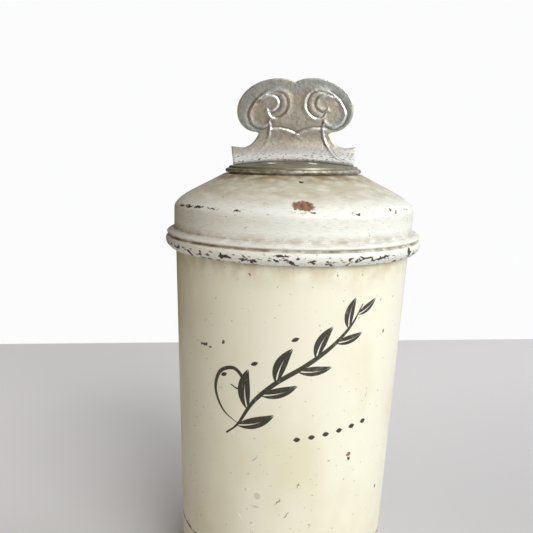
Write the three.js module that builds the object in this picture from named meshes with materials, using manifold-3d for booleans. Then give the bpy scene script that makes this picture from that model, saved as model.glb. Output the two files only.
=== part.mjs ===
// Talcum powder tin: a tapered tinplate body, a lift-off domed lid, and a turning
// perforated cap with an ornamental thumb piece. Millimetres, +Z up, standing on z = 0,
// front towards -Y, all round pieces on the Z axis.
import * as THREE from "three";
import { mergeVertices } from "three/addons/utils/BufferGeometryUtils.js";
import Module from "manifold-3d";

const wasm = await Module();
wasm.setup();

// ---- Driving dimensions ----
const ROUND = 48; // facets round every turned piece
const SHEET = 0.35; // tinplate gauge of the body, bottom and lid
const CAP_SHEET = 0.4; // gauge of the turning cap and its washers
const HANDLE_SHEET = 0.5; // gauge of the thumb piece's two halves
const NEST_GAP = 0.12; // clearance between nested sheets that don't move
const SLIP_GAP = 0.15; // clearance of the lid on the body's neck
const REST_GAP = 0.3; // clearance where a piece rests on or runs past another

const FOOT_RADIUS = 26; // outside of the body wall at its foot
const NECK_RADIUS = 28.4; // outside of the body wall under the lid
const SKIRT_BOTTOM = 86.7; // underside of the lid's beaded edge
const MOUTH_CURL = 0.6; // outer radius of the neck's inward curl
const SEAM_HEIGHT = 2.6; // the bottom's seam round the wall
const BOTTOM_RECESS = 2.2; // the bottom disc above the seam's foot
const BOTTOM_BEAD_RADIUS = 17; // stiffening bead in the bottom disc
const BOTTOM_BEAD_RISE = 0.7;
const LOCK_SEAM_WIDTH = 4; // lap of the side seam at the back
const LOCK_SEAM_PROUD = 0.3;
const LOCK_SEAM_END = 0.5; // the lap stops this far short of the taper's upper end
const WALL_RISE = 0.3; // the taper starts this far above the bottom's seam
const NECK_DROP = 1.5; // and ends this far below the lid's edge

const SKIRT_HEIGHT = 4.7; // beaded edge of the lid, top to bottom
const LOWER_BEAD_PROUD = 2.1; // the skirt's lower bead beyond its wall
const UPPER_BEAD_PROUD = 1.8;
const GROOVE_PROUD = 1.2; // groove between the two beads
const SHOULDER_HEIGHT = 10.2; // lid's shoulder above the skirt's underside
const SHOULDER_ROUND = 1.3;
const KNEE_IN = 4.3; // where the cone begins to round over, in from the skirt's wall
const KNEE_RISE = 3.55; // and up from the shoulder
const KNEE_TURN = 0.34; // the cone's line runs on by this share before it turns down
const CONE_HEIGHT = 7.7; // shoulder to the seat of the turning cap
const SEAT_MARGIN = 0.15; // flat seat beyond the turning cap's rim

const CAP_RADIUS = 16.4; // turning cap over its rolled rim
const RIM_HEIGHT = 0.95;
const RIM_WIDTH = 0.9;
const DOME_RADIUS = 89; // sphere of the cap's top
const DOME_STEP = 0.56; // the dome's edge above the rolled rim
const HOLE_RADIUS = 1.1; // sifter holes
const HOLE_RING = 9.5; // their distance from the axis
const HOLE_ROUND = 20; // facets round each of them
const CAP_HOLES_DEG = [-120, -60, 60, 120]; // from +X; closed at rest, open a quarter turn on
const QUARTER_TURN_DEG = 90;

const SHANK_SIDE = 1.8; // square shank of the pivot rivet
const RIVET_HEAD_RADIUS = 2;
const RIVET_HEAD_HEIGHT = 0.55;
const RIVET_TAIL_RADIUS = 1.9;
const RIVET_TAIL_HEIGHT = 0.6;
const SPRING_RADIUS = 5;
const SPRING_DISH = 0.6;
const STOP_RADIUS = 3.4; // stop washer
const STOP_TONGUE_REACH = 7;
const STOP_TONGUE_WIDTH = 2.4;
const STOP_LUG_SIZE = 1.2;
const STOP_LUG_RING = 6.2;
const STOP_REST_DEG = 45; // where the tongue points when the cap is closed

const HANDLE_HEIGHT = 22.4; // thumb piece's lobes above the cap's seat
const LOBE_HALF_WIDTH = 13.85;
const FOOT_INSET = 1.35; // the foot's ends, in from the cap's edge
const WAIST_HALF_WIDTH = 8.5;
const LOBE_DROP = 7.5; // widest point of the lobes, down from their top
const WAIST_DROP = 12.9;
const HORN_DROP = 15.9;
const COVE_REACH = 5.2; // how far each foot flares from the middle plane
const COVE_HEIGHT = 4.9;
const COVE_STEPS = 8;
const COVE_TURN_DEG = 80; // how far the cove turns from upright
const FACE_STEPS = [3, 8, 7, 3, 5, 2, 2]; // chords along each curve of the face outline

// ---- Levels that follow ----
const taperLow = SEAM_HEIGHT + WALL_RISE;
const taperHigh = SKIRT_BOTTOM - NECK_DROP;
const skirtTop = SKIRT_BOTTOM + SKIRT_HEIGHT;
const skirtInside = NECK_RADIUS + SLIP_GAP;
const lidRadius = skirtInside + SHEET;
const shoulder = SKIRT_BOTTOM + SHOULDER_HEIGHT;
const neckTop = shoulder - REST_GAP;
const seat = shoulder + CONE_HEIGHT;
const rimBottom = seat + REST_GAP;
const rimTop = rimBottom + RIM_HEIGHT;
const rimInside = CAP_RADIUS - RIM_WIDTH;
const domeTop = rimTop + DOME_STEP + rimInside ** 2 / (2 * DOME_RADIUS);
const crownRadius = rimInside - REST_GAP;
const capHole = SHANK_SIDE / 2 + NEST_GAP;
const crownHole = (SHANK_SIDE / 2) * Math.SQRT2 + REST_GAP;
const crownUnder = domeTop - CAP_SHEET - REST_GAP - SHEET;
const springTop = domeAt(crownUnder, SPRING_RADIUS) - NEST_GAP;
const stopTop = springTop - SPRING_DISH - CAP_SHEET - NEST_GAP;
const stopClear = (STOP_TONGUE_WIDTH + STOP_LUG_SIZE) / 2 + REST_GAP;
const stopAngle = THREE.MathUtils.radToDeg(Math.asin(stopClear / STOP_LUG_RING));
const handleTop = seat + HANDLE_HEIGHT;
const footHalfWidth = CAP_RADIUS - FOOT_INSET;

// ---- Helpers ----
const v2 = (x, y) => new THREE.Vector2(x, y);

/** Closed (r, z) outline of a sheet: its outer line and the same line set inwards. */
function sheetOutline(line, gauge) {
  const inner = line.map((p, i) => {
    const before = line[Math.max(i - 1, 0)];
    const after = line[Math.min(i + 1, line.length - 1)];
    const a = p.clone().sub(before);
    const b = after.clone().sub(p);
    const along = (a.length() ? a.normalize() : b.clone().normalize()).add(
      b.length() ? b.normalize() : a.clone(),
    );
    along.normalize();
    const turn = a.length() && b.length() ? Math.max(Math.sqrt((1 + a.dot(b)) / 2), 0.6) : 1;
    return v2(p.x - (along.y * gauge) / turn, p.y + (along.x * gauge) / turn);
  });
  return [...line, ...inner.reverse()];
}

/** A turned solid from a closed outline, or from one that starts and ends on the axis. */
function turned(outline) {
  const onAxis = Math.abs(outline[0].x) < 1e-9;
  let points = onAxis ? outline : [...outline, outline[0].clone()];
  const area = points.reduce((sum, p, i) => {
    const q = points[(i + 1) % points.length];
    return sum + p.x * q.y - q.x * p.y;
  }, 0);
  if (area < 0) points = [...points].reverse();
  return new THREE.LatheGeometry(points, ROUND).rotateX(Math.PI / 2);
}

function solid(geometry) {
  const bare = geometry.clone();
  bare.deleteAttribute("normal");
  bare.deleteAttribute("uv");
  const merged = mergeVertices(bare, 1e-5);
  return new wasm.Manifold(
    new wasm.Mesh({
      numProp: 3,
      vertProperties: new Float32Array(merged.attributes.position.array),
      triVerts: new Uint32Array(merged.index.array),
    }),
  );
}

function geometryOf(manifold) {
  const mesh = manifold.getMesh();
  const geometry = new THREE.BufferGeometry();
  geometry.setAttribute("position", new THREE.BufferAttribute(mesh.vertProperties.slice(), 3));
  geometry.setIndex(new THREE.BufferAttribute(mesh.triVerts.slice(), 1));
  geometry.computeVertexNormals();
  return geometry;
}

function arc(x, y, radius, fromDeg, toDeg, steps) {
  return Array.from({ length: steps + 1 }, (_, i) => {
    const t = THREE.MathUtils.degToRad(fromDeg + ((toDeg - fromDeg) * i) / steps);
    return v2(x + radius * Math.cos(t), y + radius * Math.sin(t));
  });
}

function box(width, depth, height, x, y, z) {
  return new THREE.BoxGeometry(width, depth, height).translate(x, y, z);
}

function drill(radius, x, y, low, high) {
  const tool = new THREE.CylinderGeometry(radius, radius, high - low, HOLE_ROUND);
  return solid(tool.rotateX(Math.PI / 2).translate(x, y, (low + high) / 2));
}

/** Height of the cap's dome, and of any sheet parallel to it, under the given top. */
function domeAt(top, r) {
  return top - (r * r) / (2 * DOME_RADIUS);
}

function domeLine(top, fromRadius, toRadius, steps) {
  return Array.from({ length: steps + 1 }, (_, i) => {
    const r = fromRadius + ((toRadius - fromRadius) * i) / steps;
    return v2(r, domeAt(top, r));
  });
}

function sifterHoles(anglesDeg, low, high) {
  return anglesDeg.map((deg) => {
    const t = THREE.MathUtils.degToRad(deg);
    return drill(HOLE_RADIUS, HOLE_RING * Math.cos(t), HOLE_RING * Math.sin(t), low, high);
  });
}

// ---- Body ----
function bodyWall() {
  const line = [
    v2(FOOT_RADIUS, SHEET + NEST_GAP),
    v2(FOOT_RADIUS, taperLow),
    v2(NECK_RADIUS, taperHigh),
    v2(NECK_RADIUS, neckTop - MOUTH_CURL),
    ...arc(NECK_RADIUS - MOUTH_CURL, neckTop - MOUTH_CURL, MOUTH_CURL, 30, 180, 5),
  ];
  const wall = solid(turned(sheetOutline(line, SHEET)));
  const low = taperLow + WALL_RISE;
  const high = taperHigh - LOCK_SEAM_END;
  const lean = Math.atan2(NECK_RADIUS - FOOT_RADIUS, taperHigh - taperLow);
  const middle = FOOT_RADIUS + ((low + high) / 2 - taperLow) * Math.tan(lean);
  const depth = SHEET + LOCK_SEAM_PROUD;
  const lap = new THREE.BoxGeometry(LOCK_SEAM_WIDTH, depth, high - low)
    .rotateX(-lean)
    .translate(0, middle + LOCK_SEAM_PROUD - depth / 2, (low + high) / 2);
  return geometryOf(wall.add(solid(lap)));
}

function bottomEnd() {
  const innerWall = FOOT_RADIUS - SHEET - NEST_GAP;
  const outer = FOOT_RADIUS + NEST_GAP + SHEET;
  const round = 0.3;
  const chuck = innerWall - SHEET;
  const beadHalf = 1.6;
  const bead = (lift) => [
    v2(BOTTOM_BEAD_RADIUS + beadHalf, lift),
    v2(BOTTOM_BEAD_RADIUS + beadHalf / 2, lift + BOTTOM_BEAD_RISE),
    v2(BOTTOM_BEAD_RADIUS - beadHalf / 2, lift + BOTTOM_BEAD_RISE),
    v2(BOTTOM_BEAD_RADIUS - beadHalf, lift),
  ];
  const under = BOTTOM_RECESS;
  const over = BOTTOM_RECESS + SHEET;
  return turned([
    v2(0, under),
    ...bead(under).reverse(),
    v2(chuck, under),
    v2(chuck, round),
    v2(chuck + round, 0),
    v2(outer - round, 0),
    v2(outer, round),
    v2(outer, SEAM_HEIGHT),
    v2(outer - SHEET, SEAM_HEIGHT),
    v2(outer - SHEET, SHEET),
    v2(innerWall, SHEET),
    v2(innerWall, over),
    ...bead(over),
    v2(0, over),
  ]);
}

// ---- Lid ----
function lidDome() {
  const knee = v2(lidRadius - KNEE_IN, shoulder + KNEE_RISE);
  const kneeEnd = v2(lidRadius - 0.35 * SHOULDER_ROUND, shoulder + 0.5 * SHOULDER_ROUND);
  const coneTop = v2(CAP_RADIUS + SEAT_MARGIN, seat);
  const kneeTurn = knee.clone().lerp(coneTop, -KNEE_TURN);
  const cone = [coneTop, ...new THREE.QuadraticBezierCurve(knee, kneeTurn, kneeEnd).getPoints(5)];
  const crownTop = crownUnder + SHEET;
  const upper = UPPER_BEAD_PROUD;
  const lower = LOWER_BEAD_PROUD;
  const outside = [
    ...domeLine(crownTop, crownHole, crownRadius, 5),
    v2(crownRadius + 0.05, seat),
    ...cone,
    v2(lidRadius, shoulder - SHOULDER_ROUND / 2),
    v2(lidRadius, skirtTop),
    v2(lidRadius + 0.5 * upper, skirtTop - 0.03 * SKIRT_HEIGHT),
    v2(lidRadius + upper, skirtTop - 0.18 * SKIRT_HEIGHT),
    v2(lidRadius + GROOVE_PROUD, skirtTop - 0.32 * SKIRT_HEIGHT),
    v2(lidRadius + 0.84 * lower, skirtTop - 0.39 * SKIRT_HEIGHT),
    v2(lidRadius + lower, skirtTop - 0.55 * SKIRT_HEIGHT),
    v2(lidRadius + 0.9 * lower, skirtTop - 0.75 * SKIRT_HEIGHT),
    v2(lidRadius + 0.62 * lower, skirtTop - 0.9 * SKIRT_HEIGHT),
    v2(lidRadius + 0.4 * lower, skirtTop - 0.98 * SKIRT_HEIGHT),
    v2(lidRadius, SKIRT_BOTTOM),
  ];
  let lid = solid(turned(sheetOutline(outside.reverse(), SHEET)));
  const plateHoles = CAP_HOLES_DEG.map((deg) => deg + QUARTER_TURN_DEG);
  for (const hole of sifterHoles(plateHoles, seat - 2, domeTop)) lid = lid.subtract(hole);
  for (const deg of [STOP_REST_DEG - stopAngle, STOP_REST_DEG + QUARTER_TURN_DEG + stopAngle]) {
    lid = lid.add(stopLug(deg));
  }
  return geometryOf(lid);
}

/** A lug pressed down from the crown's underside, in the path of the stop washer's tongue. */
function stopLug(deg) {
  const top = domeAt(crownUnder, STOP_LUG_RING) + SHEET / 2;
  const low = stopTop - CAP_SHEET;
  const lug = box(STOP_LUG_SIZE, STOP_LUG_SIZE, top - low, STOP_LUG_RING, 0, (top + low) / 2);
  return solid(lug.rotateZ(THREE.MathUtils.degToRad(deg)));
}

// ---- Turning cap and what holds it ----
function turnDisc() {
  const edge = 0.3;
  const under = domeTop - CAP_SHEET;
  const outline = [
    v2(0, domeTop),
    ...domeLine(domeTop, 2.5, rimInside - 0.1, 5),
    v2(CAP_RADIUS - edge, rimTop),
    v2(CAP_RADIUS, rimTop - edge),
    v2(CAP_RADIUS, rimBottom + edge),
    v2(CAP_RADIUS - edge, rimBottom),
    v2(rimInside, rimBottom),
    v2(rimInside, domeAt(under, rimInside)),
    ...domeLine(under, 2.5, rimInside - 0.6, 5).reverse(),
    v2(0, under),
  ];
  let disc = solid(turned(outline));
  const side = 2 * capHole;
  disc = disc.subtract(solid(box(side, side, 4, 0, 0, domeTop)));
  for (const hole of sifterHoles(CAP_HOLES_DEG, seat, domeTop + 1)) disc = disc.subtract(hole);
  return geometryOf(disc);
}

function pivotRivet() {
  const headLow = domeTop + NEST_GAP;
  const tailHigh = stopTop - CAP_SHEET - NEST_GAP;
  const edge = 0.2;
  const head = turned([
    v2(0, headLow),
    v2(RIVET_HEAD_RADIUS, headLow),
    v2(RIVET_HEAD_RADIUS, headLow + edge),
    v2(RIVET_HEAD_RADIUS * 0.6, headLow + RIVET_HEAD_HEIGHT),
    v2(0, headLow + RIVET_HEAD_HEIGHT),
  ]);
  const tail = turned([
    v2(0, tailHigh - RIVET_TAIL_HEIGHT),
    v2(RIVET_TAIL_RADIUS * 0.7, tailHigh - RIVET_TAIL_HEIGHT),
    v2(RIVET_TAIL_RADIUS, tailHigh - edge),
    v2(RIVET_TAIL_RADIUS, tailHigh),
    v2(0, tailHigh),
  ]);
  const low = tailHigh - edge;
  const high = headLow + edge;
  const shank = box(SHANK_SIDE, SHANK_SIDE, high - low, 0, 0, (high + low) / 2);
  return geometryOf(solid(head).add(solid(tail)).add(solid(shank)));
}

function springWasher() {
  const line = [v2(SPRING_RADIUS, springTop), v2(crownHole, springTop - SPRING_DISH)];
  return turned(sheetOutline(line, CAP_SHEET));
}

function stopWasher() {
  const middle = stopTop - CAP_SHEET / 2;
  const round = new THREE.CylinderGeometry(STOP_RADIUS, STOP_RADIUS, CAP_SHEET, ROUND / 2);
  const tongue = box(STOP_TONGUE_REACH, STOP_TONGUE_WIDTH, CAP_SHEET, STOP_TONGUE_REACH / 2, 0, middle);
  const side = 2 * capHole;
  const washer = solid(round.rotateX(Math.PI / 2).translate(0, 0, middle))
    .add(solid(tongue.rotateZ(THREE.MathUtils.degToRad(STOP_REST_DEG))))
    .subtract(solid(box(side, side, 2, 0, 0, middle)));
  return geometryOf(washer);
}

// ---- Thumb piece ----
/** Face outline in (x, z): two lobes over a waist, on a wide foot with horned ends. */
function handleFace() {
  const top = handleTop;
  const w = LOBE_HALF_WIDTH;
  const lobe = top - LOBE_DROP;
  const waist = top - WAIST_DROP;
  const horn = top - HORN_DROP;
  const n = WAIST_HALF_WIDTH;
  const f = footHalfWidth;
  const half = new THREE.CurvePath();
  const bezier = (...p) => half.add(new THREE.CubicBezierCurve(...p));
  bezier(v2(0, top - 0.85), v2(1.2, top - 0.2), v2(2.6, top), v2(4, top));
  bezier(v2(4, top), v2(9.5, top), v2(w, top - 3.4), v2(w, lobe));
  bezier(v2(w, lobe), v2(w, lobe - 2.9), v2(w - 2.2, lobe - 4.9), v2(w - 4.6, lobe - 4.95));
  bezier(v2(w - 4.6, lobe - 4.95), v2(n + 0.5, waist + 0.4), v2(n + 0.2, waist + 0.3), v2(n, waist));
  bezier(v2(n, waist), v2(n + 0.7, waist - 1.7), v2(n + 2.1, horn - 0.35), v2(f - 2.4, horn - 0.25));
  bezier(v2(f - 2.4, horn - 0.25), v2(f - 1.5, horn - 0.15), v2(f - 0.6, horn), v2(f, horn));
  bezier(v2(f, horn), v2(f - 0.2, horn - 1.5), v2(f - 0.5, horn - 3), v2(f - 1.2, horn - 4.6));
  const right = half.curves.flatMap((c, i) => c.getPoints(FACE_STEPS[i]).slice(0, -1));
  right.push(v2(f - 1.2, horn - 4.6), v2(f - 1.2, horn - 8));
  const left = right.slice(1).reverse().map((p) => v2(-p.x, p.y));
  return new THREE.Shape([...right, ...left]);
}

/** Front half: a flat plate that coves out into a foot lying along the cap's dome. */
function handleFront() {
  const face = NEST_GAP / 2 + HANDLE_SHEET;
  const footTop = domeAt(domeTop, COVE_REACH) + REST_GAP + HANDLE_SHEET;
  const coveTop = footTop + COVE_HEIGHT;
  const reach = COVE_REACH - face;
  const cove = Array.from({ length: COVE_STEPS + 1 }, (_, i) => {
    const t = THREE.MathUtils.degToRad((COVE_TURN_DEG * i) / COVE_STEPS);
    return v2(-COVE_REACH + reach * Math.cos(t), coveTop - COVE_HEIGHT * Math.sin(t));
  });
  const outline = sheetOutline([v2(-face, handleTop + 1), ...cove], HANDLE_SHEET);
  const length = 2 * (footHalfWidth + 1);
  const sheet = new THREE.ExtrudeGeometry(new THREE.Shape(outline), {
    depth: length,
    steps: 14,
    bevelEnabled: false,
  });
  const place = sheet.attributes.position;
  for (let i = 0; i < place.count; i += 1) {
    const x = place.getZ(i) - length / 2;
    const z = place.getY(i);
    const follow = THREE.MathUtils.clamp((coveTop - z) / COVE_HEIGHT, 0, 1);
    place.setXYZ(i, x, place.getX(i), z - (follow * x * x) / (2 * DOME_RADIUS));
  }
  const depth = COVE_REACH + 2;
  const blank = new THREE.ExtrudeGeometry(handleFace(), { depth, bevelEnabled: false });
  blank.rotateX(Math.PI / 2).translate(0, 0.01, 0);
  return geometryOf(solid(sheet).intersect(solid(blank)));
}

// ---- Assembly ----
const finish = (color, roughness, metalness) =>
  new THREE.MeshStandardMaterial({ color, roughness, metalness });
const creamPaint = finish(0xebecdd, 0.45, 0);
const lidPaint = finish(0xeff2ee, 0.42, 0);
const tinplate = finish(0xb4b2aa, 0.4, 1);
const darkTin = finish(0x74736a, 0.5, 1);
const pewter = finish(0x999487, 0.45, 1);
const steel = finish(0x8c8a84, 0.35, 1);

const tin = new THREE.Group();
const place = (parent, name, geometry, material) => {
  const mesh = new THREE.Mesh(geometry, material);
  mesh.name = name;
  parent.add(mesh);
};

const lid = new THREE.Group();
const turnCap = new THREE.Group();
place(tin, "body_wall", bodyWall(), creamPaint);
place(tin, "bottom_end", bottomEnd(), tinplate);
place(lid, "lid_dome", lidDome(), lidPaint);
place(turnCap, "turn_disc", turnDisc(), darkTin);
place(turnCap, "handle_front", handleFront(), pewter);
place(turnCap, "handle_back", handleFront().rotateZ(Math.PI), pewter);
place(turnCap, "pivot_rivet", pivotRivet(), steel);
place(turnCap, "spring_washer", springWasher(), steel);
place(turnCap, "stop_washer", stopWasher(), steel);
lid.add(turnCap);
tin.add(lid);

export default tin;
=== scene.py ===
"""Talcum powder tin: enamelled body, chipped lid, tarnished cap and worn thumb piece.

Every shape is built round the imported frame, in its place, and every finish is made of nodes.
"""

import logging
import math
from dataclasses import dataclass
from enum import Enum
from typing import Any, Sequence

import bpy
import numpy as np
from mathutils import Matrix, Vector
from mathutils.geometry import delaunay_2d_cdt


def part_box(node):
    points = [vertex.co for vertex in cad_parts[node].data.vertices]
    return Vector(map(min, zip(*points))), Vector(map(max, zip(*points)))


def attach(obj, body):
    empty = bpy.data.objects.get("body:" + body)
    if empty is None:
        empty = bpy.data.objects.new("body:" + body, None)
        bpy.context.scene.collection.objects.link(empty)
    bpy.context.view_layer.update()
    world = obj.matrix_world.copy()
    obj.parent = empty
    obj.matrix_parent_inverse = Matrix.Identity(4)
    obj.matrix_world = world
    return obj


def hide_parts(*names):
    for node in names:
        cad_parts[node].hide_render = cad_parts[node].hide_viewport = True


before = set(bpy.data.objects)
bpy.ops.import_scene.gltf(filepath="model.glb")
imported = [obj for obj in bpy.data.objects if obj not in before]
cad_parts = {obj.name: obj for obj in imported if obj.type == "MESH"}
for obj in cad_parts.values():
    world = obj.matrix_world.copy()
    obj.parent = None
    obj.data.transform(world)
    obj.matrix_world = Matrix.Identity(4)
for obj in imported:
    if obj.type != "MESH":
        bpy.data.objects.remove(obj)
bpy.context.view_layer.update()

LOG = logging.getLogger("powder_tin")
MM = 0.001
TURN = 2 * math.pi

Point = tuple[float, float]
Socket = bpy.types.NodeSocket
Object = bpy.types.Object
Material = bpy.types.Material
Tree = bpy.types.NodeTree


class Body(Enum):
    """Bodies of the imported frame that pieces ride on."""

    TIN = "tin_body"
    LID = "lid"
    CAP = "turn_cap"


class Edge(Enum):
    """How the thumb piece's sheet is pressed along a line, or only painted bright there: a rubbed edge with a
    painted highlight.
    """

    STEP = "step"
    RIDGE = "ridge"
    RUB_AND_HIGHLIGHT = "rub_and_highlight"


# ---- Shapes in the plane ----


def arc(centre: Point, radius: float, start: float, end: float, steps: int) -> list[Point]:
    """Points on a circular arc.

    Args:
        centre: Middle of the circle.
        radius: Its radius.
        start: First angle in degrees, from the first axis.
        end: Last angle in degrees.
        steps: Number of chords.

    Returns:
        The arc's points, both ends included.
    """
    angles = np.radians(np.linspace(start, end, steps + 1))
    return [(centre[0] + radius * math.cos(a), centre[1] + radius * math.sin(a)) for a in angles]


def bezier(controls: Sequence[Point], steps: int) -> list[Point]:
    """Points on a Bezier curve of any degree.

    Args:
        controls: The curve's control points.
        steps: Number of chords.

    Returns:
        The curve's points, both ends included.
    """
    degree = len(controls) - 1
    points = []
    for t in np.linspace(0, 1, steps + 1):
        weights = [math.comb(degree, k) * t**k * (1 - t) ** (degree - k) for k in range(degree + 1)]
        points.append(tuple(float(x) for x in np.array(weights) @ np.array(controls)))
    return points


def through(points: Sequence[Point], steps: int) -> list[Point]:
    """A smooth line through given points (Catmull-Rom).

    Args:
        points: Points that the line passes.
        steps: Chords between each two of them.

    Returns:
        The smooth line's points.
    """
    ends = [2 * np.array(points[0]) - points[1], 2 * np.array(points[-1]) - points[-2]]
    p = np.vstack([ends[0], np.array(points), ends[1]])
    line = []
    for i in range(1, len(p) - 2):
        for t in np.arange(steps) / steps:
            line.append(
                0.5
                * (
                    2 * p[i]
                    + (p[i + 1] - p[i - 1]) * t
                    + (2 * p[i - 1] - 5 * p[i] + 4 * p[i + 1] - p[i + 2]) * t**2
                    + (3 * p[i] - p[i - 1] - 3 * p[i + 1] + p[i + 2]) * t**3
                )
            )
    return [tuple(map(float, q)) for q in line] + [tuple(map(float, points[-1]))]


def divided(line: Sequence[Point], longest: float) -> list[Point]:
    """Split a line's long stretches.

    Args:
        line: Points of an open line.
        longest: Longest chord that may stay.

    Returns:
        The same line with more points.
    """
    result = [line[0]]
    for a, b in zip(line, line[1:]):
        parts = max(1, math.ceil(math.dist(a, b) / longest))
        result += [(a[0] + (b[0] - a[0]) * k / parts, a[1] + (b[1] - a[1]) * k / parts)
                   for k in range(1, parts + 1)]
    return result


def sheet(line: Sequence[Point], gauge: float) -> list[Point]:
    """Closed outline of a sheet whose outer face follows a line.

    Args:
        line: The outer face, with the metal on its left.
        gauge: The sheet's thickness.

    Returns:
        The outer line followed by the inner one in reverse.
    """
    p = np.array(line)
    step = np.diff(p, axis=0)
    step /= np.linalg.norm(step, axis=1)[:, None]
    before, after = np.vstack([step[:1], step]), np.vstack([step, step[-1:]])
    along = before + after
    along /= np.linalg.norm(along, axis=1)[:, None]
    lean = np.maximum(np.sqrt((1 + (before * after).sum(1)) / 2), 0.6)[:, None]
    inner = p + np.stack([-along[:, 1], along[:, 0]], 1) * gauge / lean
    return [tuple(map(float, q)) for q in np.vstack([p, inner[::-1]])]


def clockwise(outline: Sequence[Point]) -> list[Point]:
    """The same closed outline, run so that a turned surface faces outwards."""
    x, z = np.array(outline).T
    area = float((x * np.roll(z, -1) - np.roll(x, -1) * z).sum())
    return list(outline) if area < 0 else list(outline)[::-1]


def distances(cloud: np.ndarray, line: np.ndarray) -> tuple[np.ndarray, np.ndarray]:
    """Distance of each point to a line, and on which side of it the point lies.

    Args:
        cloud: The points.
        line: The line's points.

    Returns:
        The distances, and the signed distances, positive on the line's left.
    """
    best = np.full(len(cloud), 1e9)
    side = np.zeros(len(cloud))
    for a, b in zip(line, line[1:]):
        step = b - a
        length = float(step @ step) or 1e-12
        t = np.clip((cloud - a) @ step / length, 0, 1)
        away = cloud - a - t[:, None] * step
        d = np.hypot(away[:, 0], away[:, 1])
        cross = step[0] * (cloud[:, 1] - a[1]) - step[1] * (cloud[:, 0] - a[0])
        closer = d < best
        best = np.where(closer, d, best)
        side = np.where(closer, np.sign(cross), side)
    return best, best * side


# ---- Node helpers ----


def linear(colour: str) -> tuple[float, float, float, float]:
    """An sRGB hex colour as the linear colour that a socket takes."""
    parts = [int(colour[i : i + 2], 16) / 255 for i in (1, 3, 5)]
    rgb = [c / 12.92 if c <= 0.04045 else ((c + 0.055) / 1.055) ** 2.4 for c in parts]
    return (*rgb, 1.0)


def add(
    tree: Tree, kind: str, inputs: dict[str | int, Any] | Sequence[Any] = (), **settings: Any
) -> bpy.types.Node:
    """Add one node with its settings, values and links.

    Args:
        tree: Node tree that gets the node.
        kind: The node's type.
        inputs: A value, or a socket to link from, for each input: by name, by number or in order.
        settings: Properties of the node itself.

    Returns:
        The new node.
    """
    node = tree.nodes.new(kind)
    for name, value in settings.items():
        setattr(node, name, value)
    for key, value in inputs.items() if isinstance(inputs, dict) else enumerate(inputs):
        if isinstance(value, Socket):
            tree.links.new(value, node.inputs[key])
        else:
            node.inputs[key].default_value = value
    return node


# ---- Geometry Nodes: what is turned, drilled, printed and scattered ----


def new_tree(name: str, inputs: dict[str, str]) -> tuple[Tree, dict[str, Socket]]:
    """An empty geometry tree with named inputs.

    Args:
        name: The tree's name.
        inputs: Socket type of each input after the geometry, by name.

    Returns:
        The tree, and its inputs' sockets by name.
    """
    tree = bpy.data.node_groups.new(name, "GeometryNodeTree")
    face = tree.interface
    face.new_socket("Geometry", in_out="OUTPUT", socket_type="NodeSocketGeometry")
    face.new_socket("Geometry", in_out="INPUT", socket_type="NodeSocketGeometry")
    for label, kind in inputs.items():
        face.new_socket(label, in_out="INPUT", socket_type=kind)
    entry = add(tree, "NodeGroupInput")
    return tree, {socket.name: socket for socket in entry.outputs if socket.name}


def close_tree(tree: Tree, geometry: Socket, material: Socket) -> Tree:
    """End a tree in Realize Instances and Set Material, and return it."""
    real = add(tree, "GeometryNodeRealizeInstances", (geometry,)).outputs[0]
    smooth = add(tree, "GeometryNodeSetShadeSmooth", (real,)).outputs[0]
    dressed = add(tree, "GeometryNodeSetMaterial", {"Geometry": smooth, "Material": material})
    add(tree, "NodeGroupOutput", (dressed.outputs[0],))
    return tree


def run_tree(piece: Object, tree: Tree, values: dict[str, Any]) -> None:
    """Put a tree on a piece, with each input set by its identifier.

    Args:
        piece: Object that gets the modifier.
        tree: The geometry tree.
        values: Input values by the inputs' names.
    """
    modifier = piece.modifiers.new(tree.name, "NODES")
    modifier.node_group = tree
    for item in tree.interface.items_tree:
        if item.in_out == "INPUT" and item.name in values:
            modifier[item.identifier] = values[item.name]


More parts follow.
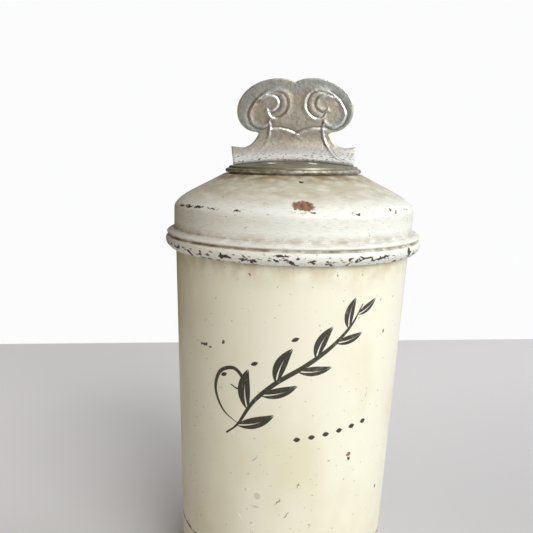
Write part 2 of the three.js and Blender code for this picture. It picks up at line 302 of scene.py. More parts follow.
def turning_tree() -> Tree:
    """A tree that turns a closed outline in the XZ plane round the Z axis."""
    tree, given = new_tree(
        "turned_round_axis",
        {"Segments": "NodeSocketInt", "Weld": "NodeSocketFloat", "Material": "NodeSocketMaterial"},
    )
    outline, segments = given["Geometry"], given["Segments"]
    count = add(tree, "GeometryNodeAttributeDomainSize", (outline,)).outputs["Point Count"]

    around = add(tree, "FunctionNodeIntegerMath", (segments, 1), operation="ADD").outputs[0]
    grid = add(
        tree,
        "GeometryNodeMeshGrid",
        {
            2: add(tree, "FunctionNodeIntegerMath", (count, 1), operation="ADD").outputs[0],
            3: around,
        },
    ).outputs["Mesh"]
    index = add(tree, "GeometryNodeInputIndex").outputs[0]
    station = add(
        tree,
        "FunctionNodeIntegerMath",
        (
            add(
                tree, "FunctionNodeIntegerMath", (index, around), operation="DIVIDE_FLOOR"
            ).outputs[0],
            count,
        ),
        operation="MODULO",
    ).outputs[0]
    place = add(tree, "GeometryNodeInputPosition").outputs[0]
    sampled = add(
        tree,
        "GeometryNodeSampleIndex",
        {"Geometry": outline, "Value": place, "Index": station},
        data_type="FLOAT_VECTOR",
        domain="POINT",
    ).outputs[0]
    flat = add(tree, "ShaderNodeSeparateXYZ", (sampled,))
    share = add(
        tree,
        "ShaderNodeMath",
        (
            add(tree, "FunctionNodeIntegerMath", (index, around), operation="MODULO").outputs[0],
            segments,
        ),
        operation="DIVIDE",
    ).outputs[0]
    angle = add(tree, "ShaderNodeMath", (share, TURN), operation="MULTIPLY").outputs[0]
    x = add(
        tree,
        "ShaderNodeMath",
        (flat.outputs["X"], add(tree, "ShaderNodeMath", (angle,), operation="COSINE").outputs[0]),
        operation="MULTIPLY",
    ).outputs[0]
    y = add(
        tree,
        "ShaderNodeMath",
        (flat.outputs["X"], add(tree, "ShaderNodeMath", (angle,), operation="SINE").outputs[0]),
        operation="MULTIPLY",
    ).outputs[0]
    spun = add(tree, "ShaderNodeCombineXYZ", (x, y, flat.outputs["Z"])).outputs[0]
    shell = add(tree, "GeometryNodeSetPosition", {"Geometry": grid, "Position": spun}).outputs[0]
    welded = add(
        tree, "GeometryNodeMergeByDistance", {"Geometry": shell, "Distance": given["Weld"]}
    )
    return close_tree(tree, welded.outputs[0], given["Material"])


def add_stations(tree: Tree, given: dict[str, Socket], instance: Socket) -> Socket:
    """Stand an instance at the sifter's stations: six round the ring, two of them left blank.

    Args:
        tree: Tree that gets the nodes.
        given: Its inputs, with Ring, Turn and Level among them.
        instance: Geometry to repeat.

    Returns:
        The instances.
    """
    ring = add(tree, "GeometryNodeMeshCircle", {"Vertices": 6, "Radius": given["Ring"]}).outputs[0]
    place = add(tree, "GeometryNodeInputPosition").outputs[0]
    side = add(tree, "ShaderNodeSeparateXYZ", (place,)).outputs["Y"]
    clear = add(
        tree,
        "ShaderNodeMath",
        (add(tree, "ShaderNodeMath", (side,), operation="ABSOLUTE").outputs[0], MM),
        operation="GREATER_THAN",
    ).outputs[0]
    stood = add(
        tree,
        "GeometryNodeInstanceOnPoints",
        {"Points": ring, "Selection": clear, "Instance": instance},
    ).outputs[0]
    turn = add(tree, "ShaderNodeCombineXYZ", {2: given["Turn"]}).outputs[0]
    lift = add(tree, "ShaderNodeCombineXYZ", {2: given["Level"]}).outputs[0]
    return add(
        tree, "GeometryNodeTransform", {"Geometry": stood, "Translation": lift, "Rotation": turn}
    ).outputs[0]


STATION_INPUTS = {"Ring": "NodeSocketFloat", "Turn": "NodeSocketFloat", "Level": "NodeSocketFloat"}


def drilling_tree() -> Tree:
    """A tree that drills the sifter's holes through a closed sheet."""
    tree, given = new_tree(
        "drilled_sifter",
        {**STATION_INPUTS, "Hole": "NodeSocketFloat", "Depth": "NodeSocketFloat",
         "Material": "NodeSocketMaterial"},
    )
    drill = add(
        tree,
        "GeometryNodeMeshCylinder",
        {"Vertices": 36, "Radius": given["Hole"], "Depth": given["Depth"]},
    ).outputs["Mesh"]
    drills = add_stations(tree, given, drill)
    real = add(tree, "GeometryNodeRealizeInstances", (drills,)).outputs[0]
    cut = add(
        tree,
        "GeometryNodeMeshBoolean",
        {"Mesh 1": given["Geometry"], "Mesh 2": real},
        operation="DIFFERENCE",
        solver="EXACT",
    ).outputs[0]
    return close_tree(tree, cut, given["Material"])


def caking_tree() -> Tree:
    """A tree that leaves an uneven lump of powder in each of the sifter's holes."""
    tree, given = new_tree(
        "caked_powder",
        {**STATION_INPUTS, "Grain": "NodeSocketFloat", "Unevenness": "NodeSocketFloat",
         "Material": "NodeSocketMaterial"},
    )
    lumps = add_stations(tree, given, given["Geometry"])
    real = add(tree, "GeometryNodeRealizeInstances", (lumps,)).outputs[0]
    noise = add(tree, "ShaderNodeTexNoise", {"Scale": given["Grain"], "Detail": 3.0}).outputs[0]
    heave = add(
        tree,
        "ShaderNodeMath",
        (
            add(tree, "ShaderNodeMath", (noise, 0.5), operation="SUBTRACT").outputs[0],
            given["Unevenness"],
        ),
        operation="MULTIPLY",
    ).outputs[0]
    offset = add(tree, "ShaderNodeCombineXYZ", {2: heave}).outputs[0]
    rough = add(tree, "GeometryNodeSetPosition", {"Geometry": real, "Offset": offset}).outputs[0]
    return close_tree(tree, rough, given["Material"])


def printing_tree() -> Tree:
    """A tree that repeats a flat motif in a rising row and wraps it round the tapered wall.

    The motif lies in the XY plane: X runs round the wall, Y up it, and Z is the ink's thickness.
    """
    tree, given = new_tree(
        "printed_on_taper",
        {
            "Count": "NodeSocketInt",
            "Pitch": "NodeSocketVector",
            "Wall radius": "NodeSocketFloat",
            "Wall level": "NodeSocketFloat",
            "Taper": "NodeSocketFloat",
            "Material": "NodeSocketMaterial",
        },
    )
    row = add(tree, "GeometryNodeMeshLine", {"Count": given["Count"], "Offset": given["Pitch"]})
    motifs = add(
        tree,
        "GeometryNodeInstanceOnPoints",
        {"Points": row.outputs[0], "Instance": given["Geometry"]},
    ).outputs[0]
    real = add(tree, "GeometryNodeRealizeInstances", (motifs,)).outputs[0]
    place = add(tree, "GeometryNodeInputPosition").outputs[0]
    flat = add(tree, "ShaderNodeSeparateXYZ", (place,))
    rise = add(
        tree, "ShaderNodeMath", (flat.outputs["Y"], given["Wall level"]), operation="SUBTRACT"
    ).outputs[0]
    widening = add(
        tree,
        "ShaderNodeMath",
        (rise, given["Taper"], given["Wall radius"]),
        operation="MULTIPLY_ADD",
    ).outputs[0]
    radius = add(tree, "ShaderNodeMath", (widening, flat.outputs["Z"]), operation="ADD").outputs[0]
    angle = add(
        tree, "ShaderNodeMath", (flat.outputs["X"], given["Wall radius"]), operation="DIVIDE"
    ).outputs[0]
    x = add(
        tree,
        "ShaderNodeMath",
        (radius, add(tree, "ShaderNodeMath", (angle,), operation="SINE").outputs[0]),
        operation="MULTIPLY",
    ).outputs[0]
    depth = add(
        tree,
        "ShaderNodeMath",
        (radius, add(tree, "ShaderNodeMath", (angle,), operation="COSINE").outputs[0]),
        operation="MULTIPLY",
    ).outputs[0]
    y = add(tree, "ShaderNodeMath", (depth, -1.0), operation="MULTIPLY").outputs[0]
    wrapped = add(tree, "ShaderNodeCombineXYZ", (x, y, flat.outputs["Y"])).outputs[0]
    print_on = add(tree, "GeometryNodeSetPosition", {"Geometry": real, "Position": wrapped})
    return close_tree(tree, print_on.outputs[0], given["Material"])


# ---- Mesh helpers ----


def box_mm(node: str) -> tuple[np.ndarray, np.ndarray]:
    """Lowest and highest corner of a frame node, in millimetres."""
    low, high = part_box(node)
    return np.array(low) / MM, np.array(high) / MM


def mesh_piece(name: str, points: Any, faces: Any, edges: Any = ()) -> Object:
    """A linked object at the origin, with its mesh in place.

    Args:
        name: The piece's name.
        points: Vertices in millimetres.
        faces: Vertex numbers of each face.
        edges: Vertex numbers of loose edges.

    Returns:
        The object.
    """
    mesh = bpy.data.meshes.new(name)
    scaled = [tuple(float(c) * MM for c in p) for p in points]
    mesh.from_pydata(scaled, [tuple(e) for e in edges], [tuple(f) for f in faces])
    mesh.update()
    piece = bpy.data.objects.new(name, mesh)
    bpy.context.scene.collection.objects.link(piece)
    return piece


def outline_piece(name: str, outline: Sequence[Point]) -> Object:
    """A closed outline in the XZ plane as an object of loose edges."""
    points = [(r, 0.0, z) for r, z in clockwise(outline)]
    count = len(points)
    return mesh_piece(name, points, [], [(i, (i + 1) % count) for i in range(count)])


def settle(piece: Object, crease: float = 35.0) -> Object:
    """Turn a piece's modifiers into plain mesh and set its sharp edges.

    Args:
        piece: Object with geometry modifiers, or with none.
        crease: Angle in degrees past which an edge is sharp.

    Returns:
        The same object.
    """
    if piece.modifiers:
        graph = bpy.context.evaluated_depsgraph_get()
        mesh = bpy.data.meshes.new_from_object(piece.evaluated_get(graph), depsgraph=graph)
        piece.modifiers.clear()
        piece.data = mesh
    piece.data.name = piece.name
    piece.data.shade_smooth()
    piece.data.set_sharp_from_angle(angle=math.radians(crease))
    return piece


def vertex_array(piece: Object) -> np.ndarray:
    """A piece's vertices in millimetres."""
    flat = np.empty(len(piece.data.vertices) * 3, np.float32)
    piece.data.vertices.foreach_get("co", flat)
    return flat.reshape(-1, 3) / MM


def store(piece: Object, name: str, values: np.ndarray) -> None:
    """Keep one number for each vertex as a named attribute."""
    attribute = piece.data.attributes.new(name, "FLOAT", "POINT")
    attribute.data.foreach_set("value", np.clip(values, 0, 1).astype(np.float32))


def bump_at(x: np.ndarray, middle: float, width: float) -> np.ndarray:
    """A soft hump of height 1 round a value."""
    return np.exp(-(((x - middle) / width) ** 2))


def dressed(
    piece: Object, body: Body, material: Material, nodes: Sequence[str] = (), slot: str = ""
) -> Object:
    """Give a finished piece its material, its body and the nodes that it stands for.

    Args:
        piece: The finished object.
        body: Body that it rides on.
        material: Its material.
        nodes: Frame nodes that it replaces.
        slot: Not used.

    Returns:
        The same object.
    """
    piece.data.materials.clear()
    piece.data.materials.append(material)
    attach(piece, body.value)
    if nodes:
        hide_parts(*nodes)
    LOG.info("%s: %d faces, on %s", piece.name, len(piece.data.polygons), body.value)
    return piece


# ---- Patterns that the finishes share ----


@dataclass(frozen=True)
class Spot:
    """A single mark on a round wall. Sizes are in millimetres."""

    angle: float  # degrees from the front, positive towards +X
    radius: float
    level: float
    width: float
    height: float
    tilt: float = 0.0  # degrees


def new_material(name: str) -> tuple[Material, Tree, Socket]:
    """An empty node material.

    Args:
        name: What the surface is and how it was made.

    Returns:
        The material, its tree and the object's own coordinates.
    """
    material = bpy.data.materials.new(name)
    material.use_nodes = True
    material.node_tree.nodes.clear()
    place = add(material.node_tree, "ShaderNodeTexCoord").outputs["Object"]
    return material, material.node_tree, place


def patches(
    tree: Tree,
    place: Socket,
    size: float,
    low: float,
    high: float,
    stretch: tuple[float, float, float] = (1.0, 1.0, 1.0),
    detail: float = 3.0,
    seed: float = 0.0,
) -> Socket:
    """A mask of irregular patches.

    Args:
        tree: The material's tree.
        place: Coordinates in metres.
        size: Size of a patch in millimetres.
        low: Noise value below which the mask is 0.
        high: Noise value above which it is 1.
        stretch: How much finer the patches are along each axis.
        detail: Octaves of finer noise.
        seed: Shift, in patch sizes, that gives another pattern.

    Returns:
        The mask.
    """
    scaled = [s / (size * MM) for s in stretch]
    moved = add(
        tree,
        "ShaderNodeMapping",
        {"Vector": place, "Location": (seed, seed, seed), "Scale": scaled},
    ).outputs[0]
    noise = add(tree, "ShaderNodeTexNoise", {"Vector": moved, "Scale": 1.0, "Detail": detail})
    return add(
        tree,
        "ShaderNodeMapRange",
        {"Value": noise.outputs[0], "From Min": low, "From Max": high},
        interpolation_type="SMOOTHSTEP",
    ).outputs[0]


def spots_mask(tree: Tree, place: Socket, spots: Sequence[Spot]) -> Socket:
    """One mask for several ragged spots on a round wall.

    Args:
        tree: The material's tree.
        place: Coordinates in metres.
        spots: The spots.

    Returns:
        The mask.
    """
    noise = add(
        tree, "ShaderNodeTexNoise", {"Vector": place, "Scale": 1300.0, "Detail": 3.0}
    ).outputs[1]
    wander = add(
        tree, "ShaderNodeVectorMath", (noise, (0.5, 0.5, 0.5)), operation="SUBTRACT"
    ).outputs[0]
    ragged = add(
        tree, "ShaderNodeVectorMath", (wander, (1.3 * MM,) * 3, place), operation="MULTIPLY_ADD"
    ).outputs[0]
    mask = None
    for spot in spots:
        turn = math.radians(spot.angle)
        centre = (spot.radius * math.sin(turn), -spot.radius * math.cos(turn), spot.level)
        axes = Matrix.Rotation(turn, 3, "Z") @ Matrix.Rotation(math.radians(-spot.tilt), 3, "Y")
        depth = max(spot.width, spot.height)
        local = add(
            tree,
            "ShaderNodeMapping",
            {
                "Vector": ragged,
                "Location": tuple((c * MM for c in centre)),
                "Rotation": tuple(axes.to_euler("XYZ")),
                "Scale": (spot.width / 2 * MM, depth * MM, spot.height / 2 * MM),
            },
            vector_type="TEXTURE",
        ).outputs[0]
        reach = add(tree, "ShaderNodeVectorMath", (local,), operation="LENGTH").outputs["Value"]
        if mask is not None:
            reach = add(tree, "ShaderNodeMath", (mask, reach), operation="MINIMUM").outputs[0]
        mask = reach
    return add(
        tree,
        "ShaderNodeMapRange",
        {"Value": mask, "From Min": 0.8, "From Max": 1.05, "To Min": 1.0, "To Max": 0.0},
        interpolation_type="SMOOTHSTEP",
    ).outputs[0]


def layered(tree: Tree, ground: Any, layers: Sequence[tuple[Socket, Any]]) -> Socket:
    """Lay colours or numbers over one another where their masks say.

    Args:
        tree: The material's tree.
        ground: Colour of the lowest layer, or a socket.
        layers: Mask and colour of each further layer, from the lowest up.

    Returns:
        The colour on top.
    """
    for mask, colour in layers:
        mixed = add(tree, "ShaderNodeMix", {0: mask, 6: ground, 7: colour}, data_type="RGBA")
        ground = mixed.outputs[2]
    return ground


def relieved(tree: Tree, steps: Sequence[tuple[Socket, float]]) -> Socket:
    """Normals of a surface with fine relief.

    Args:
        tree: The material's tree.
        steps: A height pattern and the relief's depth in millimetres, for each layer.

    Returns:
        The normals.
    """
    normal = None
    for pattern, depth in steps:
        inputs = {"Height": pattern, "Distance": depth * MM, "Strength": 1.0}
        if normal is not None:
            inputs["Normal"] = normal
        normal = add(tree, "ShaderNodeBump", inputs).outputs[0]
    return normal


def surface(tree: Tree, inputs: dict[str, Any]) -> None:
    """End a material in a Principled surface with the given inputs."""
    shader = add(tree, "ShaderNodeBsdfPrincipled", inputs).outputs[0]
    add(tree, "ShaderNodeOutputMaterial", (shader,))


# ---- Finishes ----


@dataclass(frozen=True)
class CreamEnamel:
    """Stoving enamel on tinplate, sprayed and baked: smooth, satin, yellowed with age."""

    name: str = "stoving_enamel_sprayed_cream"
    paint: str = "#E9E8D6"
    yellowed: str = "#DDD8BA"
    grime: str = "#B8A47C"
    bruise: str = "#4A443A"
    freckle: str = "#8A6E4C"
    line: str = "#5A3D28"
    lining: str = "#A8A498"
    smear: str = "#B4B8A8"
    blue: str = "#7FA6C4"
    bare: str = "#F4F4EE"
    line_level: float = 14.6
    line_width: float = 0.75
    roughness: float = 0.36

    marks: tuple[Spot, ...] = (
        Spot(-41.5, 27.8, 66.4, 2.6, 0.75, 12),
        Spot(-37.6, 27.8, 66.1, 0.9, 0.5),
        Spot(-29.2, 27.9, 68.0, 0.8, 1.2, -25),
        Spot(34.6, 27.1, 41.6, 0.7, 0.9),
    )
    freckles: tuple[Spot, ...] = (
        Spot(34.0, 27.1, 42.6, 1.5, 1.0, 20),
        Spot(50.5, 28.0, 70.7, 0.8, 0.9),
        Spot(58.5, 26.8, 30.6, 0.9, 1.0),
        Spot(-16.5, 28.2, 84.3, 0.5, 0.8),
        Spot(21.0, 28.2, 84.6, 0.4, 0.5),
    )
    scratches: tuple[Spot, ...] = (
        Spot(-0.6, 26.8, 31.6, 0.35, 2.6, -38),
        Spot(3.7, 26.7, 28.4, 0.3, 2.2, -30),
        Spot(8.6, 26.9, 36.0, 0.25, 1.6, -10),
    )
    rubbed: tuple[Spot, ...] = (
        Spot(-19.0, 26.7, 26.0, 0.3, 2.9, 36),
        Spot(-24.0, 27.4, 47.0, 0.3, 2.0, 40),
    )
    smears: tuple[Spot, ...] = (
        Spot(-10.8, 26.9, 32.4, 1.5, 2.0),
        Spot(-11.9, 26.9, 29.6, 2.4, 0.5, -10),
        Spot(-16.5, 26.9, 33.4, 0.7, 0.9),
    )
    crayon: tuple[Spot, ...] = (Spot(-12.1, 27.2, 41.8, 0.32, 2.5, -38), Spot(42.0, 27.4, 56.4, 0.3, 1.3, -20))

    def build(self) -> Material:
        """Make the material. Its detail is age: stains, freckles, bruises and a foot line rubbed away in places.
        """
        material, tree, place = new_material(self.name)
        level = add(tree, "ShaderNodeSeparateXYZ", (place,)).outputs["Z"]
        off = add(
            tree,
            "ShaderNodeMath",
            (
                add(
                    tree, "ShaderNodeMath", (level, self.line_level * MM), operation="SUBTRACT"
                ).outputs[0],
            ),
            operation="ABSOLUTE",
        ).outputs[0]
        band = add(
            tree, "ShaderNodeMath", (off, self.line_width / 2 * MM), operation="LESS_THAN"
        ).outputs[0]
        kept = patches(tree, place, 2.2, 0.36, 0.44, (1, 1, 2.0), 5, 3.0)
        foot_line = add(tree, "ShaderNodeMath", (band, kept), operation="MULTIPLY").outputs[0]
        stain = add(
            tree,
            "ShaderNodeMath",
            (patches(tree, place, 16.0, 0.42, 0.7, (1, 1, 0.6)), 0.75),
            operation="MULTIPLY",
        ).outputs[0]
        dirt = add(
            tree,
            "ShaderNodeMath",
            (
                add(tree, "ShaderNodeAttribute", attribute_name="grime").outputs["Fac"],
                patches(tree, place, 3.0, 0.3, 0.62, (1, 1, 0.7), 5, 7.0),
            ),
            operation="MULTIPLY",
        ).outputs[0]
        specks = add(
            tree,
            "ShaderNodeMath",
            (patches(tree, place, 1.1, 0.71, 0.75, (1, 1, 1.4), 2, 5.0), 0.6),
            operation="MULTIPLY",
        ).outputs[0]
        dots = add(
            tree,
            "ShaderNodeMath",
            (patches(tree, place, 0.7, 0.76, 0.8, (1, 1, 1), 1, 12.0), 0.45),
            operation="MULTIPLY",
        ).outputs[0]
        colour = layered(
            tree,
            linear(self.paint),
            [
                (stain, linear(self.yellowed)),
                (dirt, linear(self.grime)),
                (specks, linear(self.freckle)),
                (dots, linear(self.bruise)),
                (spots_mask(tree, place, self.rubbed), linear(self.bare)),
                (
                    add(
                        tree,
                        "ShaderNodeMath",
                        (spots_mask(tree, place, self.smears), 0.55),
                        operation="MULTIPLY",
                    ).outputs[0],
                    linear(self.smear),
                ),
                (
                    add(
                        tree,
                        "ShaderNodeMath",
                        (spots_mask(tree, place, self.crayon), 0.7),
                        operation="MULTIPLY",
                    ).outputs[0],
                    linear(self.blue),
                ),
                (spots_mask(tree, place, self.freckles), linear(self.freckle)),
                (
                    add(
                        tree,
                        "ShaderNodeMath",
                        (spots_mask(tree, place, self.scratches), 0.75),
                        operation="MULTIPLY",
                    ).outputs[0],
                    linear(self.bruise),
                ),
                (spots_mask(tree, place, self.marks), linear(self.bruise)),
                (foot_line, linear(self.line)),
                (
                    add(tree, "ShaderNodeAttribute", attribute_name="inside").outputs["Fac"],
                    linear(self.lining),
                ),
            ],
        )
        peel = patches(tree, place, 1.6, 0.2, 0.8, (1, 1, 0.8), 2)
        wear = patches(tree, place, 5.0, 0.3, 0.7, (1, 1, 0.5), 4)
        gloss = add(
            tree, "ShaderNodeMath", (wear, 0.14, self.roughness), operation="MULTIPLY_ADD"
        ).outputs[0]
        normal = relieved(
            tree,
            [
                (peel, 0.006),
                (add(tree, "ShaderNodeMath", (1.0, specks), operation="SUBTRACT").outputs[0], 0.02),
            ],
        )
        surface(
            tree,
            {
                "Base Color": colour,
                "Roughness": gloss,
                "Normal": normal,
                "Metallic": add(
                    tree, "ShaderNodeAttribute", attribute_name="inside"
                ).outputs["Fac"],
                "Coat Weight": 0.12,
                "Coat Roughness": 0.2,
            },
        )
        return material


@dataclass(frozen=True)
class WhiteEnamel:
    """Brushed white enamel over tinplate: faint brush lines, chipped to dark metal on its edges."""

    name: str = "enamel_brushed_offwhite"
    paint: str = "#E8ECE7"
    handled: str = "#B1AA90"
    grime: str = "#8F7757"
    primer: str = "#B9A98C"
    metal: str = "#3B352D"
    rust: str = "#8F6A52"
    rust_deep: str = "#6E4834"
    lining: str = "#A8A498"
    roughness: float = 0.38

    rust_spots: tuple[Spot, ...] = (Spot(5.2, 26.9, 98.9, 4.9, 2.1, -3),)
    nicks: tuple[Spot, ...] = (
        Spot(-61.0, 28.6, 97.4, 3.2, 0.45, 0),
        Spot(-53.0, 28.6, 97.5, 3.4, 0.5, 0),
        Spot(-46.5, 28.5, 97.6, 2.4, 0.55, 4),
        Spot(-36.0, 28.5, 97.6, 1.8, 0.4, 0),
        Spot(-23.0, 28.5, 97.5, 1.6, 0.35, 0),
        Spot(29.0, 28.4, 97.3, 1.3, 0.5, 10),
        Spot(48.5, 28.5, 97.9, 0.8, 0.7),
        Spot(51.5, 28.6, 97.2, 0.6, 0.8),
        Spot(6.0, 19.0, 103.4, 1.3, 0.5, -20),
        Spot(-45.5, 30.2, 87.6, 1.9, 1.1, -40),
        Spot(-41.0, 30.2, 87.5, 1.6, 0.5, -10),
        Spot(-27.5, 30.5, 87.7, 0.9, 0.9, 30),
        Spot(-24.0, 30.5, 88.0, 1.2, 0.6, -30),
        Spot(-18.0, 30.4, 87.5, 1.5, 0.5, 20),
        Spot(-14.5, 30.4, 87.3, 0.8, 0.9),
        Spot(-3.0, 30.9, 89.0, 4.0, 0.35, 0),
        Spot(-4.5, 30.6, 87.9, 1.5, 0.5, -20),
        Spot(1.0, 30.4, 87.6, 1.3, 0.7, -35),
        Spot(2.5, 30.2, 87.1, 2.0, 0.4),
        Spot(15.5, 30.3, 87.4, 1.6, 0.5, -15),
        Spot(30.0, 30.8, 88.6, 2.4, 0.55, -8),
        Spot(26.5, 30.6, 88.0, 1.2, 0.5, 10),
        Spot(41.0, 30.8, 88.6, 1.8, 0.5, -12),
        Spot(57.0, 30.9, 88.9, 1.2, 1.6),
    )

    def build(self) -> Material:
        """Make the material. Its detail is wear: chips on the beads, grime in every hollow, rust."""
        material, tree, place = new_material(self.name)
        wear = add(tree, "ShaderNodeAttribute", attribute_name="wear").outputs["Fac"]
        fine = patches(tree, place, 1.5, 0.3, 0.8, (1, 1, 2.2), 5, 2.0)
        lost = add(tree, "ShaderNodeMath", (wear, fine), operation="MULTIPLY").outputs[0]
        chips = add(
            tree,
            "ShaderNodeMapRange",
            {"Value": lost, "From Min": 0.43, "From Max": 0.5},
            interpolation_type="SMOOTHSTEP",
        ).outputs[0]
        rim = add(
            tree,
            "ShaderNodeMapRange",
            {"Value": lost, "From Min": 0.36, "From Max": 0.44},
            interpolation_type="SMOOTHSTEP",
        ).outputs[0]
        uneven = patches(tree, place, 4.0, 0.2, 0.7, (1, 1, 4.0), 8, 4.0)
        film = add(
            tree,
            "ShaderNodeMath",
            (
                add(tree, "ShaderNodeAttribute", attribute_name="handled").outputs["Fac"],
                add(
                    tree, "ShaderNodeMath", (uneven, 0.55, 0.4), operation="MULTIPLY_ADD"
                ).outputs[0],
            ),
            operation="MULTIPLY",
        ).outputs[0]
        dirt = add(
            tree,
            "ShaderNodeMath",
            (
                add(tree, "ShaderNodeAttribute", attribute_name="grime").outputs["Fac"],
                patches(tree, place, 2.4, 0.26, 0.66, (1, 1, 1.6), 5, 9.0),
            ),
            operation="MULTIPLY",
        ).outputs[0]
        specks = patches(tree, place, 0.9, 0.69, 0.73, (1, 1, 1.2), 2, 6.0)
        smudge = add(
            tree,
            "ShaderNodeMath",
            (patches(tree, place, 1.6, 0.5, 0.72, (1, 1, 7.0), 6, 8.0), 0.4),
            operation="MULTIPLY",
        ).outputs[0]
        rust_mask = spots_mask(tree, place, self.rust_spots)
        rust_depth = add(
            tree,
            "ShaderNodeMath",
            (rust_mask, patches(tree, place, 0.9, 0.42, 0.62, (1, 1, 1), 4, 1.0)),
            operation="MULTIPLY",
        ).outputs[0]
        nicks = spots_mask(tree, place, self.nicks)
        colour = layered(
            tree,
            linear(self.paint),
            [
                (film, linear(self.handled)),
                (smudge, linear(self.primer)),
                (dirt, linear(self.grime)),
                (
                    add(tree, "ShaderNodeMath", (specks, 0.55), operation="MULTIPLY").outputs[0],
                    linear(self.grime),
                ),
                (rim, linear(self.primer)),
                (chips, linear(self.metal)),
                (nicks, linear(self.metal)),
                (rust_mask, linear(self.rust)),
                (rust_depth, linear(self.rust_deep)),
                (
                    add(tree, "ShaderNodeAttribute", attribute_name="inside").outputs["Fac"],
                    linear(self.lining),
                ),
            ],
        )
        bare = add(tree, "ShaderNodeMath", (chips, nicks), operation="MAXIMUM").outputs[0]
        gone = add(tree, "ShaderNodeMath", (bare, rust_mask), operation="MAXIMUM").outputs[0]
        brushed = patches(tree, place, 1.2, 0.25, 0.75, (1, 1, 5.0), 4, 11.0)
        gloss = add(
            tree, "ShaderNodeMath", (film, 0.22, self.roughness), operation="MULTIPLY_ADD"
        ).outputs[0]
        rough = add(
            tree, "ShaderNodeMath", (gone, 0.25, gloss), operation="MULTIPLY_ADD"
        ).outputs[0]
        normal = relieved(
            tree,
            [
                (brushed, 0.012),
                (add(tree, "ShaderNodeMath", (1.0, gone), operation="SUBTRACT").outputs[0], 0.07),
            ],
        )
        surface(
            tree,
            {
                "Base Color": colour,
                "Roughness": rough,
                "Normal": normal,
                "Metallic": add(
                    tree, "ShaderNodeAttribute", attribute_name="inside"
                ).outputs["Fac"],
                "Coat Weight": 0.1,
                "Coat Roughness": 0.25,
            },
        )
        return material


@dataclass(frozen=True)
class TarnishedTin:
    """Pressed tinplate gone dark: dull, with a lighter rim, partly rubbed metal and partly a painted highlight,
    and brown bloom.
    """

    name: str = "tinplate_pressed_tarnished"
    metal: str = "#9C9A86"
    dark: str = "#737162"
    bloom: str = "#6B5A40"
    # Rubbed metal and painted highlight on the rim.
    rubbed: str = "#C2C4BC"
    powder: str = "#E6E6E0"
    roughness: float = 0.42
    metallic: float = 0.75

    def build(self) -> Material:
        """Make the material. Its detail is uneven tarnish, and a rim painted lighter: rubbed metal and a painted
        highlight.
        """
        material, tree, place = new_material(self.name)
        dark = patches(tree, place, 5.0, 0.35, 0.75, (1, 1, 1), 5)
        bloom = add(
            tree,
            "ShaderNodeMath",
            (patches(tree, place, 2.2, 0.5, 0.75, (1, 1, 1), 4, 6.0), 0.6),
            operation="MULTIPLY",
        ).outputs[0]
        # Lighter rim: rubbed metal and a painted highlight.
        rubbed = add(
            tree,
            "ShaderNodeMath",
            (
                add(tree, "ShaderNodeAttribute", attribute_name="wear").outputs["Fac"],
                patches(tree, place, 1.4, 0.42, 0.6, (1, 1, 2), 4, 3.0),
            ),
            operation="MULTIPLY",
        ).outputs[0]
        dusty = add(
            tree,
            "ShaderNodeMath",
            (
                add(tree, "ShaderNodeAttribute", attribute_name="powder").outputs["Fac"],
                patches(tree, place, 0.8, 0.4, 0.6, (1, 1, 1), 4, 2.0),
            ),
            operation="MULTIPLY",
        ).outputs[0]
        colour = layered(
            tree,
            linear(self.metal),
            [
                (dark, linear(self.dark)),
                (bloom, linear(self.bloom)),
                (rubbed, linear(self.rubbed)),
                (dusty, linear(self.powder)),
            ],
        )
        rough = add(
            tree, "ShaderNodeMath", (dark, 0.18, self.roughness), operation="MULTIPLY_ADD"
        ).outputs[0]
        grain = patches(tree, place, 0.5, 0.2, 0.8, (1, 1, 1), 3)
        surface(tree, {"Base Color": colour, "Metallic": self.metallic, "Roughness": rough,
                       "Normal": relieved(tree, [(grain, 0.01)])})
        return material


